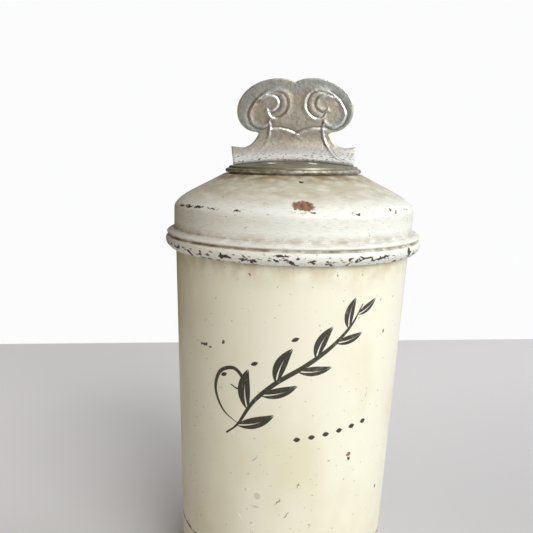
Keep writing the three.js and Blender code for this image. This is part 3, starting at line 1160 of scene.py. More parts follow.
@dataclass(frozen=True)
class WhiteMetal:
    """Soft grey white metal, pressed in a die: satin, with grime and painted shade in its hollows, rubbed edges
    with painted highlights, and painted glints on its foot.
    """

    name: str = "white_metal_pressed_worn"
    metal: str = "#B4ADA1"
    cool: str = "#A0A5A0"
    # Grime and painted shade in the relief's hollows.
    warm: str = "#A69886"
    hollow: str = "#4E493F"
    # Rubbed metal, painted highlights and the foot's painted glints.
    worn_and_highlit: str = "#ECEFEF"
    pitted: str = "#6E6A60"
    edge: str = "#5B594F"
    roughness: float = 0.4
    metallic: float = 0.8

    def build(self) -> Material:
        """Make the material. Its detail is relief: rubbed edges with painted highlights, hollows with painted
        shade, and a pitted foot with painted glints.
        """
        material, tree, place = new_material(self.name)
        cool = add(
            tree,
            "ShaderNodeMath",
            (
                add(tree, "ShaderNodeAttribute", attribute_name="rim").outputs["Fac"],
                patches(tree, place, 5.0, 0.25, 0.6, (1, 1, 1), 3, 5.0),
            ),
            operation="MULTIPLY",
        ).outputs[0]
        warm = patches(tree, place, 6.0, 0.45, 0.7, (1, 1, 1), 4, 2.0)
        mottle = add(
            tree,
            "ShaderNodeMath",
            (patches(tree, place, 0.8, 0.4, 0.7, (1, 1, 1), 5, 8.0), 0.35),
            operation="MULTIPLY",
        ).outputs[0]
        pits = add(
            tree,
            "ShaderNodeMath",
            (
                add(tree, "ShaderNodeAttribute", attribute_name="foot").outputs["Fac"],
                patches(tree, place, 0.45, 0.56, 0.66, (0.7, 1, 1.2), 5, 1.0),
            ),
            operation="MULTIPLY",
        ).outputs[0]
        # Painted reflection: white glints on the cove, stronger towards its lower edge.
        glints = add(
            tree,
            "ShaderNodeMath",
            (
                add(tree, "ShaderNodeAttribute", attribute_name="foot").outputs["Fac"],
                patches(tree, place, 1.1, 0.02, 0.5, (0.6, 1, 1.2), 6, 14.0),
            ),
            operation="MULTIPLY",
        ).outputs[0]
        worn_at = patches(tree, place, 1.1, 0.3, 0.55, (1, 1, 1), 4, 10.0)
        # Rubbed edges with painted highlights, from the piece's wear attribute.
        worn_and_highlit = add(
            tree,
            "ShaderNodeMath",
            (add(tree, "ShaderNodeAttribute", attribute_name="wear").outputs["Fac"], worn_at),
            operation="MULTIPLY",
        ).outputs[0]
        colour = layered(
            tree,
            linear(self.metal),
            [
                (
                    add(tree, "ShaderNodeMath", (warm, 0.6), operation="MULTIPLY").outputs[0],
                    linear(self.warm),
                ),
                (cool, linear(self.cool)),
                (mottle, linear(self.pitted)),
                (glints, linear(self.worn_and_highlit)),
                (pits, linear(self.pitted)),
                # Grime and painted shade in the relief's hollows.
                (
                    add(tree, "ShaderNodeAttribute", attribute_name="hollow").outputs["Fac"],
                    linear(self.hollow),
                ),
                (worn_and_highlit, linear(self.worn_and_highlit)),
                (
                    add(tree, "ShaderNodeAttribute", attribute_name="side").outputs["Fac"],
                    linear(self.edge),
                ),
            ],
        )
        shine = add(
            tree, "ShaderNodeMath", (worn_and_highlit, -0.14, self.roughness), operation="MULTIPLY_ADD"
        ).outputs[0]
        grain = patches(tree, place, 0.6, 0.25, 0.75, (1, 1, 1), 5)
        coarse = add(
            tree,
            "ShaderNodeMath",
            (
                patches(tree, place, 0.5, 0.3, 0.7, (0.7, 1, 1.2), 5, 1.0),
                add(tree, "ShaderNodeAttribute", attribute_name="foot").outputs["Fac"],
            ),
            operation="MULTIPLY",
        ).outputs[0]
        normal = relieved(tree, [(grain, 0.02), (coarse, 0.06)])
        bloom = add(
            tree,
            "ShaderNodeMath",
            (
                add(tree, "ShaderNodeAttribute", attribute_name="foot").outputs["Fac"],
                -0.5,
                self.metallic,
            ),
            operation="MULTIPLY_ADD",
        ).outputs[0]
        surface(tree, {"Base Color": colour, "Metallic": bloom, "Roughness": shine, "Normal": normal})
        return material


@dataclass(frozen=True)
class PlainMetal:
    """Bare rolled or blanked sheet metal: dull, with rolling lines and small stains."""

    name: str
    metal: str
    stain: str
    roughness: float = 0.38

    def build(self) -> Material:
        """Make the material. Its detail is fine rolling lines and a few darker stains."""
        material, tree, place = new_material(self.name)
        stained = patches(tree, place, 3.5, 0.48, 0.7, (1, 1, 1), 5, 3.0)
        lines = patches(tree, place, 0.5, 0.3, 0.7, (1, 0.06, 1), 3)
        colour = layered(tree, linear(self.metal), [(stained, linear(self.stain))])
        rough = add(
            tree, "ShaderNodeMath", (stained, 0.2, self.roughness), operation="MULTIPLY_ADD"
        ).outputs[0]
        surface(tree, {"Base Color": colour, "Metallic": 1.0, "Roughness": rough,
                       "Normal": relieved(tree, [(lines, 0.006)])})
        return material


@dataclass(frozen=True)
class PrintInk:
    """Lithographic ink under the varnish: flat, a little rubbed and thinned by handling."""

    name: str = "lithographic_ink_olive"
    ink: str = "#35352A"
    thin: str = "#6C6A55"
    roughness: float = 0.4

    def build(self) -> Material:
        """Make the material. Its detail is ink that is thinner in small worn places."""
        material, tree, place = new_material(self.name)
        thin = add(
            tree,
            "ShaderNodeMath",
            (patches(tree, place, 0.8, 0.55, 0.72, (1, 1, 1), 4), 0.8),
            operation="MULTIPLY",
        ).outputs[0]
        colour = layered(tree, linear(self.ink), [(thin, linear(self.thin))])
        rough = add(
            tree, "ShaderNodeMath", (thin, 0.15, self.roughness), operation="MULTIPLY_ADD"
        ).outputs[0]
        surface(tree, {"Base Color": colour, "Roughness": rough})
        return material


@dataclass(frozen=True)
class Talc:
    """Talcum powder caked in the sifter: pure matt white with a fine crumb."""

    name: str = "talc_powder_caked"
    powder: str = "#F3F3EE"
    shade: str = "#D8D6CC"

    def build(self) -> Material:
        """Make the material. Its detail is a crumb of 0.3 mm, coarser than talc so that it shows."""
        material, tree, place = new_material(self.name)
        crumb = patches(tree, place, 0.3, 0.3, 0.7, (1, 1, 1), 3)
        colour = layered(tree, linear(self.shade), [(crumb, linear(self.powder))])
        surface(tree, {"Base Color": colour, "Roughness": 0.95,
                       "Normal": relieved(tree, [(crumb, 0.05)])})
        return material


# ---- The body ----


@dataclass
class TinBody:
    """Tapered wall with its lapped side seam, and the seamed-on bottom. Sizes in millimetres."""

    gauge: float = 0.35
    nest_gap: float = 0.12
    mouth_curl: float = 0.6
    taper_low: float = 2.9
    taper_high: float = 85.2
    recess: float = 2.2
    seam_height: float = 2.6
    bead_ring: float = 17.0
    bead_half: float = 1.6
    bead_rise: float = 0.7
    lap_half_width: float = 2.0
    lap_proud: float = 0.3
    segments: int = 360

    def __post_init__(self) -> None:
        """Read the sizes that the frame holds."""
        low, high = box_mm("body_wall")
        self.low, self.neck_top = float(low[2]), float(high[2])
        self.neck_radius = float(high[0])
        self.seam_radius = float(box_mm("bottom_end")[1][0])
        self.foot_radius = self.seam_radius - self.gauge - self.nest_gap

    @property
    def taper(self) -> float:
        """How much the radius grows for each millimetre of height."""
        return (self.neck_radius - self.foot_radius) / (self.taper_high - self.taper_low)

    def wall_outline(self) -> list[Point]:
        """Closed outline of the wall, from its foot to the curl at its mouth."""
        curl = (self.neck_radius - self.mouth_curl, self.neck_top - self.mouth_curl)
        straight = divided(
            [
                (self.foot_radius, self.low),
                (self.foot_radius, self.taper_low),
                (self.neck_radius, self.taper_high),
                (self.neck_radius, curl[1]),
            ],
            2.5,
        )
        return sheet(straight + arc(curl, self.mouth_curl, 8, 180, 14), self.gauge)

    def bottom_outline(self) -> list[Point]:
        """Closed outline of the bottom: a beaded disc, its wall and the seam round the tin's foot."""
        inner = self.foot_radius - self.gauge - self.nest_gap
        chuck = inner - self.gauge
        round_ = 0.3
        wall = self.seam_radius - self.gauge

        def bead(level: float) -> list[Point]:
            """The stiffening bead at a level, from the inside out."""
            span = np.linspace(-1, 1, 13)
            rise = self.bead_rise * np.cos(span * math.pi / 2) ** 1.2
            return [(self.bead_ring + s * self.bead_half, level + float(h)) for s, h in zip(span, rise)]

        under, over = self.recess, self.recess + self.gauge
        return [
            (0.02, under),
            *bead(under),
            (chuck, under),
            (chuck, round_),
            *arc((chuck + round_, round_), round_, 180, 270, 5)[1:],
            *arc((self.seam_radius - round_, round_), round_, 270, 360, 5),
            (self.seam_radius, self.seam_height - 0.08),
            (self.seam_radius - 0.08, self.seam_height),
            (wall, self.seam_height),
            (wall, self.gauge),
            (inner, self.gauge),
            (inner, over),
            *bead(over)[::-1],
            (0.02, over),
        ]

    def raise_lap(self, wall: Object) -> None:
        """Lift the wall's outer face along the side seam at the back."""
        p = vertex_array(wall)
        radius = np.hypot(p[:, 0], p[:, 1])
        away = np.abs(np.arctan2(p[:, 0], p[:, 1])) * radius
        outside = radius > self.foot_radius + (p[:, 2] - self.taper_low) * self.taper - 0.1
        inside_seam = outside & (p[:, 2] > self.taper_low) & (p[:, 2] < self.taper_high)
        rise = np.clip((self.lap_half_width + 0.25 - away) / 0.5, 0, 1) * self.lap_proud * inside_seam
        p[:, :2] *= (1 + rise / radius)[:, None]
        wall.data.vertices.foreach_set("co", (p * MM).astype(np.float32).ravel())
        wall.data.update()

    def build(self, turning: Tree, enamel: Material, tinplate: Material) -> list[Object]:
        """Make and dress the wall and the bottom.

        Args:
            turning: Tree that turns outlines.
            enamel: Finish of the wall.
            tinplate: Finish of the bottom.

        Returns:
            The two pieces.
        """
        wall = outline_piece("enamelled_wall", self.wall_outline())
        run_tree(wall, turning, {"Segments": self.segments, "Weld": 1e-6, "Material": enamel})
        settle(wall)
        self.raise_lap(wall)
        p = vertex_array(wall)
        z = p[:, 2]
        wide = np.minimum(self.foot_radius + (z - self.taper_low) * self.taper, self.neck_radius)
        store(wall, "inside", (np.hypot(p[:, 0], p[:, 1]) < wide - 0.2) * (z < self.neck_top - 0.3))
        store(wall, "grime", 0.55 * bump_at(z, self.taper_high + 1.5, 3.4) + 0.5 * bump_at(z, 2.0, 3.0))
        bottom = outline_piece("seamed_bottom", self.bottom_outline())
        run_tree(bottom, turning, {"Segments": self.segments // 2, "Weld": 1e-6, "Material": tinplate})
        settle(bottom)
        return [
            dressed(wall, Body.TIN, enamel, ["body_wall"], "cream_paint"),
            dressed(bottom, Body.TIN, tinplate, ["bottom_end"], "bare_tinplate"),
        ]


# ---- Lid and turning cap ----


@dataclass
class Sifter:
    """The sizes that the lid's crown and the turning cap share, in millimetres."""

    dome_radius: float = 89.0
    hole_radius: float = 1.1
    hole_ring: float = 9.5
    rest_gap: float = 0.3
    gauge: float = 0.35
    cap_gauge: float = 0.4
    bore: float = 1.02
    crown_bore: float = 1.573

    def __post_init__(self) -> None:
        """Read the cap's place from the frame."""
        low, high = box_mm("turn_disc")
        self.cap_radius, self.rim_low = float(high[0]), float(low[2])
        self.top = float(high[2]) + self.bore**2 / (2 * self.dome_radius)
        self.crown_top = self.top - self.cap_gauge - self.rest_gap

    def dome(self, top: float, start: float, end: float, steps: int) -> list[Point]:
        """A line along the shallow dome.

        Args:
            top: Height of the dome on the axis.
            start: First radius.
            end: Last radius.
            steps: Number of chords.

        Returns:
            The line's points.
        """
        return [(float(r), top - float(r) ** 2 / (2 * self.dome_radius))
                for r in np.linspace(start, end, steps + 1)]

    def drill_inputs(self, turn: float, material: Material) -> dict[str, Any]:
        """Inputs of the drilling tree.

        Args:
            turn: Where the holes stand, in degrees from the closed cap's holes.
            material: Finish of the drilled sheet.

        Returns:
            The inputs by name.
        """
        return {
            "Ring": self.hole_ring * MM,
            "Turn": math.radians(turn),
            "Level": self.top * MM,
            "Hole": self.hole_radius * MM,
            "Depth": 6 * MM,
            "Material": material,
        }


@dataclass
class Lid:
    """The lift-off lid: drilled crown, cone, rounded shoulder and double-beaded skirt, in mm."""

    sifter: Sifter
    skirt_height: float = 4.7
    lower_proud: float = 2.1
    upper_proud: float = 1.8
    groove_proud: float = 1.2
    shoulder_height: float = 10.2
    shoulder_round: float = 1.3
    knee_in: float = 4.3
    knee_rise: float = 3.55
    knee_turn: float = 0.34
    cone_height: float = 7.7
    seat_margin: float = 0.15
    crown_radius: float = 15.2
    quarter_turn: float = 90.0
    segments: int = 320

    def __post_init__(self) -> None:
        """Read the skirt's place from the frame."""
        low, high = box_mm("lid_dome")
        self.bead_radius, self.skirt_low = float(high[0]), float(low[2])
        self.radius = self.bead_radius - self.lower_proud
        self.skirt_top = self.skirt_low + self.skirt_height
        self.shoulder = self.skirt_low + self.shoulder_height
        self.seat = self.shoulder + self.cone_height

    def outside(self) -> list[Point]:
        """The lid's outer line from the crown's bore to the skirt's edge."""
        r, top, tall = self.radius, self.skirt_top, self.skirt_height
        knee = np.array([r - self.knee_in, self.shoulder + self.knee_rise])
        cone_top = np.array([self.sifter.cap_radius + self.seat_margin, self.seat])
        knee_turn = knee + self.knee_turn * (knee - cone_top)
        knee_end = (r - 0.35 * self.shoulder_round, self.shoulder + 0.5 * self.shoulder_round)
        crown = self.sifter.dome(self.sifter.crown_top, self.sifter.crown_bore, self.crown_radius, 30)
        cone = divided([tuple(cone_top), tuple(knee)], 0.7)
        bend = bezier([tuple(knee), tuple(knee_turn), knee_end], 14)
        turn_down = bezier([knee_end, (r, self.shoulder + 0.1), (r, self.shoulder - 0.65)], 8)
        beads = through(
            [
                (r, top + 0.25),
                (r + 0.06, top),
                (r + 0.5 * self.upper_proud, top - 0.03 * tall),
                (r + self.upper_proud, top - 0.18 * tall),
                (r + self.groove_proud, top - 0.32 * tall),
                (r + 0.84 * self.lower_proud, top - 0.39 * tall),
                (r + self.lower_proud, top - 0.55 * tall),
                (r + 0.9 * self.lower_proud, top - 0.75 * tall),
                (r + 0.62 * self.lower_proud, top - 0.9 * tall),
                (r + 0.4 * self.lower_proud, top - 0.98 * tall),
                (r, self.skirt_low),
            ],
            7,
        )
        wall = divided([turn_down[-1], beads[0]], 0.9)
        line = crown + [(self.crown_radius + 0.05, self.seat)] + cone + bend[1:] + turn_down[1:]
        line += wall[1:-1] + [(min(x, self.bead_radius), z) for x, z in beads]
        return line

    def build(self, turning: Tree, drilling: Tree, enamel: Material) -> Object:
        """Make and dress the lid.

        Args:
            turning: Tree that turns outlines.
            drilling: Tree that drills the sifter's holes.
            enamel: Its finish.

        Returns:
            The lid.
        """
        shell = sheet(self.outside()[::-1], self.sifter.gauge)
        lid = outline_piece("enamelled_lid", shell)
        run_tree(lid, turning, {"Segments": self.segments, "Weld": 1e-6, "Material": enamel})
        run_tree(lid, drilling, self.sifter.drill_inputs(self.quarter_turn, enamel))
        settle(lid, 40)
        p = vertex_array(lid)
        r, z = np.hypot(p[:, 0], p[:, 1]), p[:, 2]
        groove = self.skirt_top - 0.32 * self.skirt_height
        lower = self.skirt_low + 0.3 * self.skirt_height
        skirt = r > self.radius + 0.4
        cone = np.clip((z - self.shoulder - 1) / 3, 0, 1) * (r > self.sifter.cap_radius - 0.5)
        wear = 0.98 * bump_at(z, lower, 0.9) * skirt + 0.75 * bump_at(z, self.skirt_low, 0.5)
        wear += 0.72 * bump_at(z, self.shoulder + 0.7, 0.45) * (r > self.radius - 2)
        grime = 0.95 * bump_at(z, groove, 0.55) * (r < self.radius + self.upper_proud - 0.1)
        grime += 0.6 * bump_at(z, self.skirt_top + 0.4, 0.7) + 1.05 * bump_at(z, self.seat - 0.4, 0.95)
        handled = 0.95 * cone + 0.25 * bump_at(z, self.shoulder - 1.5, 1.8) + 0.12 * skirt
        outer = np.array(self.outside())
        near, signed = distances(np.stack([r, z], 1), outer)
        store(lid, "inside", (near > 0.2) * (signed < 0))
        store(lid, "wear", wear)
        store(lid, "grime", grime)
        store(lid, "handled", handled)
        return dressed(lid, Body.LID, enamel, ["lid_dome"], "lid_paint")


@dataclass
class TurningCap:
    """The domed, drilled cap with its rolled rim, its spring, and the powder in its holes, in mm."""

    sifter: Sifter
    rim_height: float = 0.95
    rim_width: float = 0.9
    dome_step: float = 0.56
    spring_radius: float = 5.0
    lump_radius: float = 1.06
    lump_half_height: float = 0.24
    segments: int = 256

    def cap_outline(self) -> list[Point]:
        """Closed outline of the cap: dome, step and rolled rim."""
        s = self.sifter
        inside = s.cap_radius - self.rim_width
        rim_top = s.rim_low + self.rim_height
        roll = self.rim_height / 2
        over = s.dome(s.top, s.bore, inside - 0.25, 34)
        edge = arc((s.cap_radius - roll, s.rim_low + roll), roll, 90, -90, 16)
        under = s.dome(s.top - s.cap_gauge, s.bore, inside - 0.6, 30)
        shoulder = bezier([over[-1], (inside + 0.05, over[-1][1] - 0.05), (inside + 0.06, rim_top + 0.1)], 5)
        return [
            *over,
            *shoulder[1:],
            *edge,
            (inside, s.rim_low),
            (inside, under[-1][1] - 0.15),
            *under[::-1],
        ]

    def build(self, turning: Tree, drilling: Tree, caking: Tree, tin: Material, steel: Material,
              talc: Material) -> list[Object]:
        """Make and dress the cap, its powder and its spring.

        Args:
            turning: Tree that turns outlines.
            drilling: Tree that drills the sifter's holes.
            caking: Tree that leaves powder in them.
            tin: Finish of the cap.
            steel: Finish of the spring.
            talc: Finish of the powder.

        Returns:
            The pieces.
        """
        s = self.sifter
        cap = outline_piece("drilled_cap", self.cap_outline())
        run_tree(cap, turning, {"Segments": self.segments, "Weld": 1e-6, "Material": tin})
        run_tree(cap, drilling, s.drill_inputs(0, tin))
        settle(cap, 32)
        p = vertex_array(cap)
        r = np.hypot(p[:, 0], p[:, 1])
        stations = [(s.hole_ring * math.cos(a), s.hole_ring * math.sin(a))
                    for a in np.radians([-120, -60, 60, 120])]
        near = np.min([np.hypot(p[:, 0] - x, p[:, 1] - y) for x, y in stations], axis=0)
        # Lighter band round the rim: rubbing and a painted highlight.
        store(cap, "wear", np.clip((r - s.cap_radius + 0.6) / 0.4, 0, 1) * 0.8)
        store(cap, "powder", np.clip(1 - (near - s.hole_radius) / 0.5, 0, 1) * 0.85)
        pieces = [dressed(cap, Body.CAP, tin, ["turn_disc"], "tarnished_tinplate")]
        pieces.append(dressed(self.powder(caking, talc), Body.CAP, talc))
        low, high = box_mm("spring_washer")
        line = [(float(high[0]), float(high[2])), (s.crown_bore, float(low[2]) + s.cap_gauge)]
        spring = outline_piece("dished_spring", sheet(line, s.cap_gauge))
        run_tree(spring, turning, {"Segments": 96, "Weld": 1e-6, "Material": steel})
        pieces.append(dressed(settle(spring), Body.CAP, steel, ["spring_washer"], "steel"))
        return pieces

    def powder(self, caking: Tree, talc: Material) -> Object:
        """Make the caked powder, one lump for each hole.

        Args:
            caking: Tree that repeats and roughens the lump.
            talc: Its finish.

        Returns:
            The powder as one piece.
        """
        s = self.sifter
        rings, around = 8, 28
        points, faces = [], []
        for i in range(1, rings):
            tilt = math.pi * i / rings
            for j in range(around):
                turn = TURN * j / around
                spread = self.lump_radius * math.sin(tilt) ** 0.45
                height = self.lump_half_height * math.cos(tilt)
                points.append((spread * math.cos(turn), spread * math.sin(turn), height))
        for i in range(rings - 2):
            for j in range(around):
                a, b = i * around + j, i * around + (j + 1) % around
                faces.append((a, a + around, b + around, b))
        faces.append(tuple(range(around)))
        last = (rings - 2) * around
        faces.append(tuple(range(last + around - 1, last - 1, -1)))
        powder = mesh_piece("caked_talc", points, faces)
        drop = s.hole_ring**2 / (2 * s.dome_radius)
        level = s.top - drop - s.cap_gauge / 2 - 0.02
        run_tree(powder, caking, {
            "Ring": s.hole_ring * MM, "Turn": 0.0, "Level": level * MM,
            "Grain": 900.0, "Unevenness": 0.1 * MM, "Material": talc,
        })
        return settle(powder, 60)


# ---- Thumb piece ----


@dataclass(frozen=True)
class Stroke:
    """A line of the relief on the right-hand side, in millimetres across and up."""

    points: tuple[Point, ...]
    kind: Edge
    high_side: int = 1  # 1 where the raised side is on the left of the line, -1 on the right
    depth: float = 0.13
    reach: float = 1.3
    worn_and_highlit: tuple[float, float] = (1.0, 1.0)  # brightness of the rubbed edge and its painted highlight, left and right; the highlight differs with the light


@dataclass
class ThumbPiece:
    """Two pressed halves, back to back: lobes with scrolls over a waist, on a coved foot, in mm."""

    sifter: Sifter
    gauge: float = 0.5
    nest_gap: float = 0.12
    lobe_half_width: float = 13.85
    waist_half_width: float = 8.5
    foot_inset: float = 1.35
    cove_reach: float = 5.2
    cove_height: float = 4.9
    cove_turn: float = 80.0
    lattice: float = 0.21
    edge_round: float = 0.28
    die_offset: float = 0.6
    solder: float = 0.29

    strokes: tuple[Stroke, ...] = (
        Stroke(((9.7, 121.7), (8.6, 122.8), (7.4, 123.6), (5.9, 124.1), (4.6, 124.2), (3.3, 123.75),
                (2.4, 122.7), (2.0, 121.3), (2.2, 119.9), (3.0, 118.7), (4.0, 117.95), (5.1, 117.75),
                (6.2, 118.2), (6.8, 119.3)), Edge.STEP, -1, worn_and_highlit=(0.5, 1.0)),
        Stroke(((8.7, 122.6), (7.2, 123.1), (5.8, 123.0), (4.9, 122.5), (4.4, 121.5), (4.55, 120.5),
                (5.3, 119.7), (6.1, 119.35), (6.8, 119.3)), Edge.STEP, 1, worn_and_highlit=(1.0, 0.35)),
        Stroke(((7.9, 123.4), (8.9, 122.8), (10.05, 121.6), (11.05, 120.2), (11.55, 118.8),
                (11.3, 117.5), (10.6, 116.3), (9.6, 115.65), (8.3, 115.5), (7.3, 115.85),
                (6.5, 116.8)), Edge.STEP, -1, worn_and_highlit=(0.3, 0.8)),
        Stroke(((0.0, 114.2), (0.9, 114.6), (2.0, 115.0), (3.6, 115.4), (5.0, 115.45), (6.25, 115.4)),
               Edge.STEP, -1),
        Stroke(((6.5, 116.8), (6.3, 115.6), (6.35, 114.5), (6.6, 113.2), (7.3, 111.6), (8.4, 110.0),
                (10.0, 108.4), (12.0, 107.2)), Edge.RIDGE, 1, 0.14, 0.3),
        Stroke(((8.5, 122.5), (7.4, 123.2), (6.1, 123.6), (5.2, 123.6)), Edge.RUB_AND_HIGHLIGHT, reach=0.34,
               worn_and_highlit=(1.0, 0.6)),
        Stroke(((6.6, 119.1), (6.15, 118.6), (5.5, 118.15)), Edge.RUB_AND_HIGHLIGHT, reach=0.3, worn_and_highlit=(1.0, 0.7)),
    )

    def __post_init__(self) -> None:
        """Work out the levels from the frame and the cap's dome."""
        self.top = float(box_mm("handle_front")[1][2])
        self.face = self.nest_gap / 2 + self.gauge
        s = self.sifter
        foot_top = s.top - self.cove_reach**2 / (2 * s.dome_radius) + s.rest_gap + self.gauge
        self.cove_top = foot_top + self.cove_height
        self.foot_half_width = s.cap_radius - self.foot_inset
        self.reach = self.cove_reach - self.face
        self.roll = (self.reach + self.cove_height) / 2  # mean radius of the cove

    def outline(self) -> list[Point]:
        """The half's outline, across and along the sheet, run counter-clockwise."""
        top, w, n, f = self.top, self.lobe_half_width, self.waist_half_width, self.foot_half_width
        lobe, waist, horn = top - 7.5, top - 12.9, top - 15.9
        curves = (
            (((0, top - 0.85), (1.2, top - 0.2), (2.6, top), (4, top)), 14),
            (((4, top), (9.5, top), (w, top - 3.4), (w, lobe)), 44),
            (((w, lobe), (w, lobe - 2.9), (w - 2.2, lobe - 4.9), (w - 4.6, lobe - 4.95)), 34),
            (((w - 4.6, lobe - 4.95), (n + 0.5, waist + 0.4), (n + 0.2, waist + 0.3), (n, waist)), 8),
            (((n, waist), (n + 0.7, waist - 1.7), (n + 2.1, horn - 0.35), (f - 2.4, horn - 0.25)), 26),
            (((f - 2.4, horn - 0.25), (f - 1.5, horn - 0.15), (f - 0.6, horn), (f, horn)), 10),
            (((f, horn), (f - 0.2, horn - 1.5), (f - 0.5, horn - 3), (f - 1.2, horn - 4.6)), 20),
        )
        right = []
        for controls, steps in curves:
            right += bezier(controls, steps)[:-1]
        end = self.cove_top - self.roll * math.radians(self.cove_turn)
        along = [(x, self.down_sheet(x, z)) for x, z in right]
        along = [p for p in along if p[1] > end + 0.05]
        corner = (along[-1][0] - 0.05, end)
        bottom = divided([corner, (-corner[0], end)], 0.3)
        left = [(-x, s) for x, s in along[::-1]]
        closed = along + bottom + left[:-1]
        return closed[::-1]

    def down_sheet(self, x: float, z: float) -> float:
        """Where a point at a height lies along the sheet, which bends outwards in its cove."""
        if z >= self.cove_top:
            return z
        drop = (self.cove_top - z) / (self.cove_height + x * x / (2 * self.sifter.dome_radius))
        turn = math.asin(min(drop, math.sin(math.radians(self.cove_turn))))
        return self.cove_top - self.roll * turn

    def lattice_points(self, outline: np.ndarray) -> np.ndarray:
        """Evenly spaced points inside the outline.

        Args:
            outline: The closed outline.

        Returns:
            The points.
        """
        (x0, y0), (x1, y1) = outline.min(0), outline.max(0)
        row = self.lattice * math.sqrt(3) / 2
        rows = np.arange(y0 + row / 2, y1, row)
        points = []
        for k, y in enumerate(rows):
            xs = np.arange(x0 + self.lattice / 2 * (1 + k % 2), x1, self.lattice)
            points.append(np.stack([xs, np.full_like(xs, y)], 1))
        cloud = np.vstack(points)
        distance, _ = distances(cloud, np.vstack([outline, outline[:1]]))
        return cloud[self.inside(cloud, outline) & (distance > 0.55 * self.lattice)]

    @staticmethod
    def inside(cloud: np.ndarray, outline: np.ndarray) -> np.ndarray:
        """Which points lie inside a closed outline."""
        crossings = np.zeros(len(cloud), int)
        for a, b in zip(outline, np.roll(outline, -1, axis=0)):
            spans = (a[1] > cloud[:, 1]) != (b[1] > cloud[:, 1])
            if a[1] == b[1]:
                continue
            at = a[0] + (cloud[:, 1] - a[1]) * (b[0] - a[0]) / (b[1] - a[1])
            crossings += spans & (cloud[:, 0] < at)
        return crossings % 2 == 1

    def relief(self, cloud: np.ndarray) -> tuple[np.ndarray, np.ndarray, np.ndarray]:
        """Height of the pressed relief, its wear with painted highlights, and its grime with painted shade.

        Args:
            cloud: Points across and along the sheet.

        Returns:
            Height in millimetres, and two shares from 0 to 1.
        """
        height, wear, hollow = (np.zeros(len(cloud)) for _ in range(3))
        for stroke in self.strokes:
            path = [(x, self.down_sheet(x, z)) for x, z in stroke.points]
            for mirror in (1, -1):
                line = np.array(through(path, 6)) * (mirror, 1) + (self.die_offset, 0)
                d, signed = distances(cloud, line)
                signed = signed * stroke.high_side * mirror
                if stroke.kind is Edge.STEP:
                    fade = np.clip(1 - d / stroke.reach, 0, 1) ** 1.5
                    height += stroke.depth * np.tanh(signed / 0.13) * fade
                    # Painted highlight with rubbing along the raised side of each step, set apart left and
                    # right.
                    rub_and_highlight = bump_at(signed, 0.14, 0.27) * stroke.worn_and_highlit[(mirror + 1) // 2]
                    wear = np.maximum(wear, rub_and_highlight)
                    # Painted shade with grime on the low side of each step.
                    hollow = np.maximum(hollow, 0.8 * bump_at(signed, -0.3, 0.2))
                elif stroke.kind is Edge.RUB_AND_HIGHLIGHT:
                    # A bright line with no relief: rubbing and a painted highlight.
                    rub_and_highlight = bump_at(d, 0, stroke.reach) * stroke.worn_and_highlit[(mirror + 1) // 2]
                    wear = np.maximum(wear, rub_and_highlight)
                else:
                    weak = np.clip((cloud[:, 1] - 112.6) / 1.5, 0.15, 1) if mirror < 0 else 1.0
                    height += stroke.depth * bump_at(d, 0, stroke.reach) * weak
                    # The ridge's crest painted bright: rubbing and a painted highlight.
                    wear = np.maximum(wear, bump_at(d, 0, 0.2) * weak)
                    # Painted shade with grime beside the ridge.
                    hollow = np.maximum(hollow, 0.55 * bump_at(d, 0.45, 0.18) * weak)
        return height, wear, hollow

    def place(self, cloud: np.ndarray, lift: np.ndarray) -> np.ndarray:
        """Put points of the flat sheet into their place on the front half.

        Args:
            cloud: Points across and along the sheet.
            lift: Height of each above the sheet's outer face.

        Returns:
            The points in space.
        """
        x, s = cloud.T
        turn = np.clip((self.cove_top - s) / self.roll, 0, None)
        bent = turn > 0
        y = np.where(bent, -self.cove_reach + self.reach * np.cos(turn), -self.face)
        z = np.where(bent, self.cove_top - self.cove_height * np.sin(turn), s)
        z = z - np.sin(turn) * x * x / (2 * self.sifter.dome_radius)
        run = np.stack([-self.reach * np.sin(turn), -self.cove_height * np.cos(turn)], 1)
        run /= np.linalg.norm(run, axis=1)[:, None]
        return np.stack([x, y + run[:, 1] * lift, z - run[:, 0] * lift], 1)

    def half(self, name: str, back: bool) -> Object:
        """Make one half.

        Args:
            name: The piece's name.
            back: Whether it is the half turned to the back.

        Returns:
            The half, with its wear, painted highlights and painted shade in vertex attributes.
        """
        outline = np.array(self.outline())
        cloud = np.vstack([outline, self.lattice_points(outline)])
        made = delaunay_2d_cdt([Vector(p) for p in cloud], [], [list(range(len(outline)))], 1, 1e-5)
        flat = np.array([tuple(p) for p in made[0]])
        tops = [tuple(f) for f in made[2]]
        height, wear, hollow = self.relief(flat)
        rim_distance, _ = distances(flat, np.vstack([outline, outline[:1]]))
        over = np.clip(1 - rim_distance / self.edge_round, 0, 1)
        outer = self.place(flat, height - 0.12 * over**2)
        solder = self.solder * np.clip(1 - (flat[:, 1] - outline[:, 1].min()) / 0.6, 0, 1)
        inner = self.place(flat, -self.gauge - solder)
        count = len(flat)
        edges = {(a, b) for f in tops for a, b in zip(f, f[1:] + f[:1])}
        border = [(a, b) for a, b in edges if (b, a) not in edges]
        first = outer[list(tops[0])]
        if np.cross(first[1] - first[0], first[2] - first[0])[1] > 0:
            tops = [f[::-1] for f in tops]
            border = [(b, a) for a, b in border]
        starts = {a: i for i, (a, _) in enumerate(border)}
        walls = [(b, a, count + a, count + b) for a, b in border]
        points = np.vstack([outer, inner])
        faces = tops + [tuple(count + i for i in f[::-1]) for f in tops] + walls
        if back:
            points = points * (-1, -1, 1)
        piece = mesh_piece(name, points, faces)
        on_inner = np.concatenate([np.zeros(count), np.ones(count)])
        twice = [np.concatenate([v, v * 0]) for v in (wear, hollow)]
        rim = np.clip(1 - (rim_distance - 2.2) / 0.8, 0, 1) * (flat[:, 1] > self.cove_top + 1)
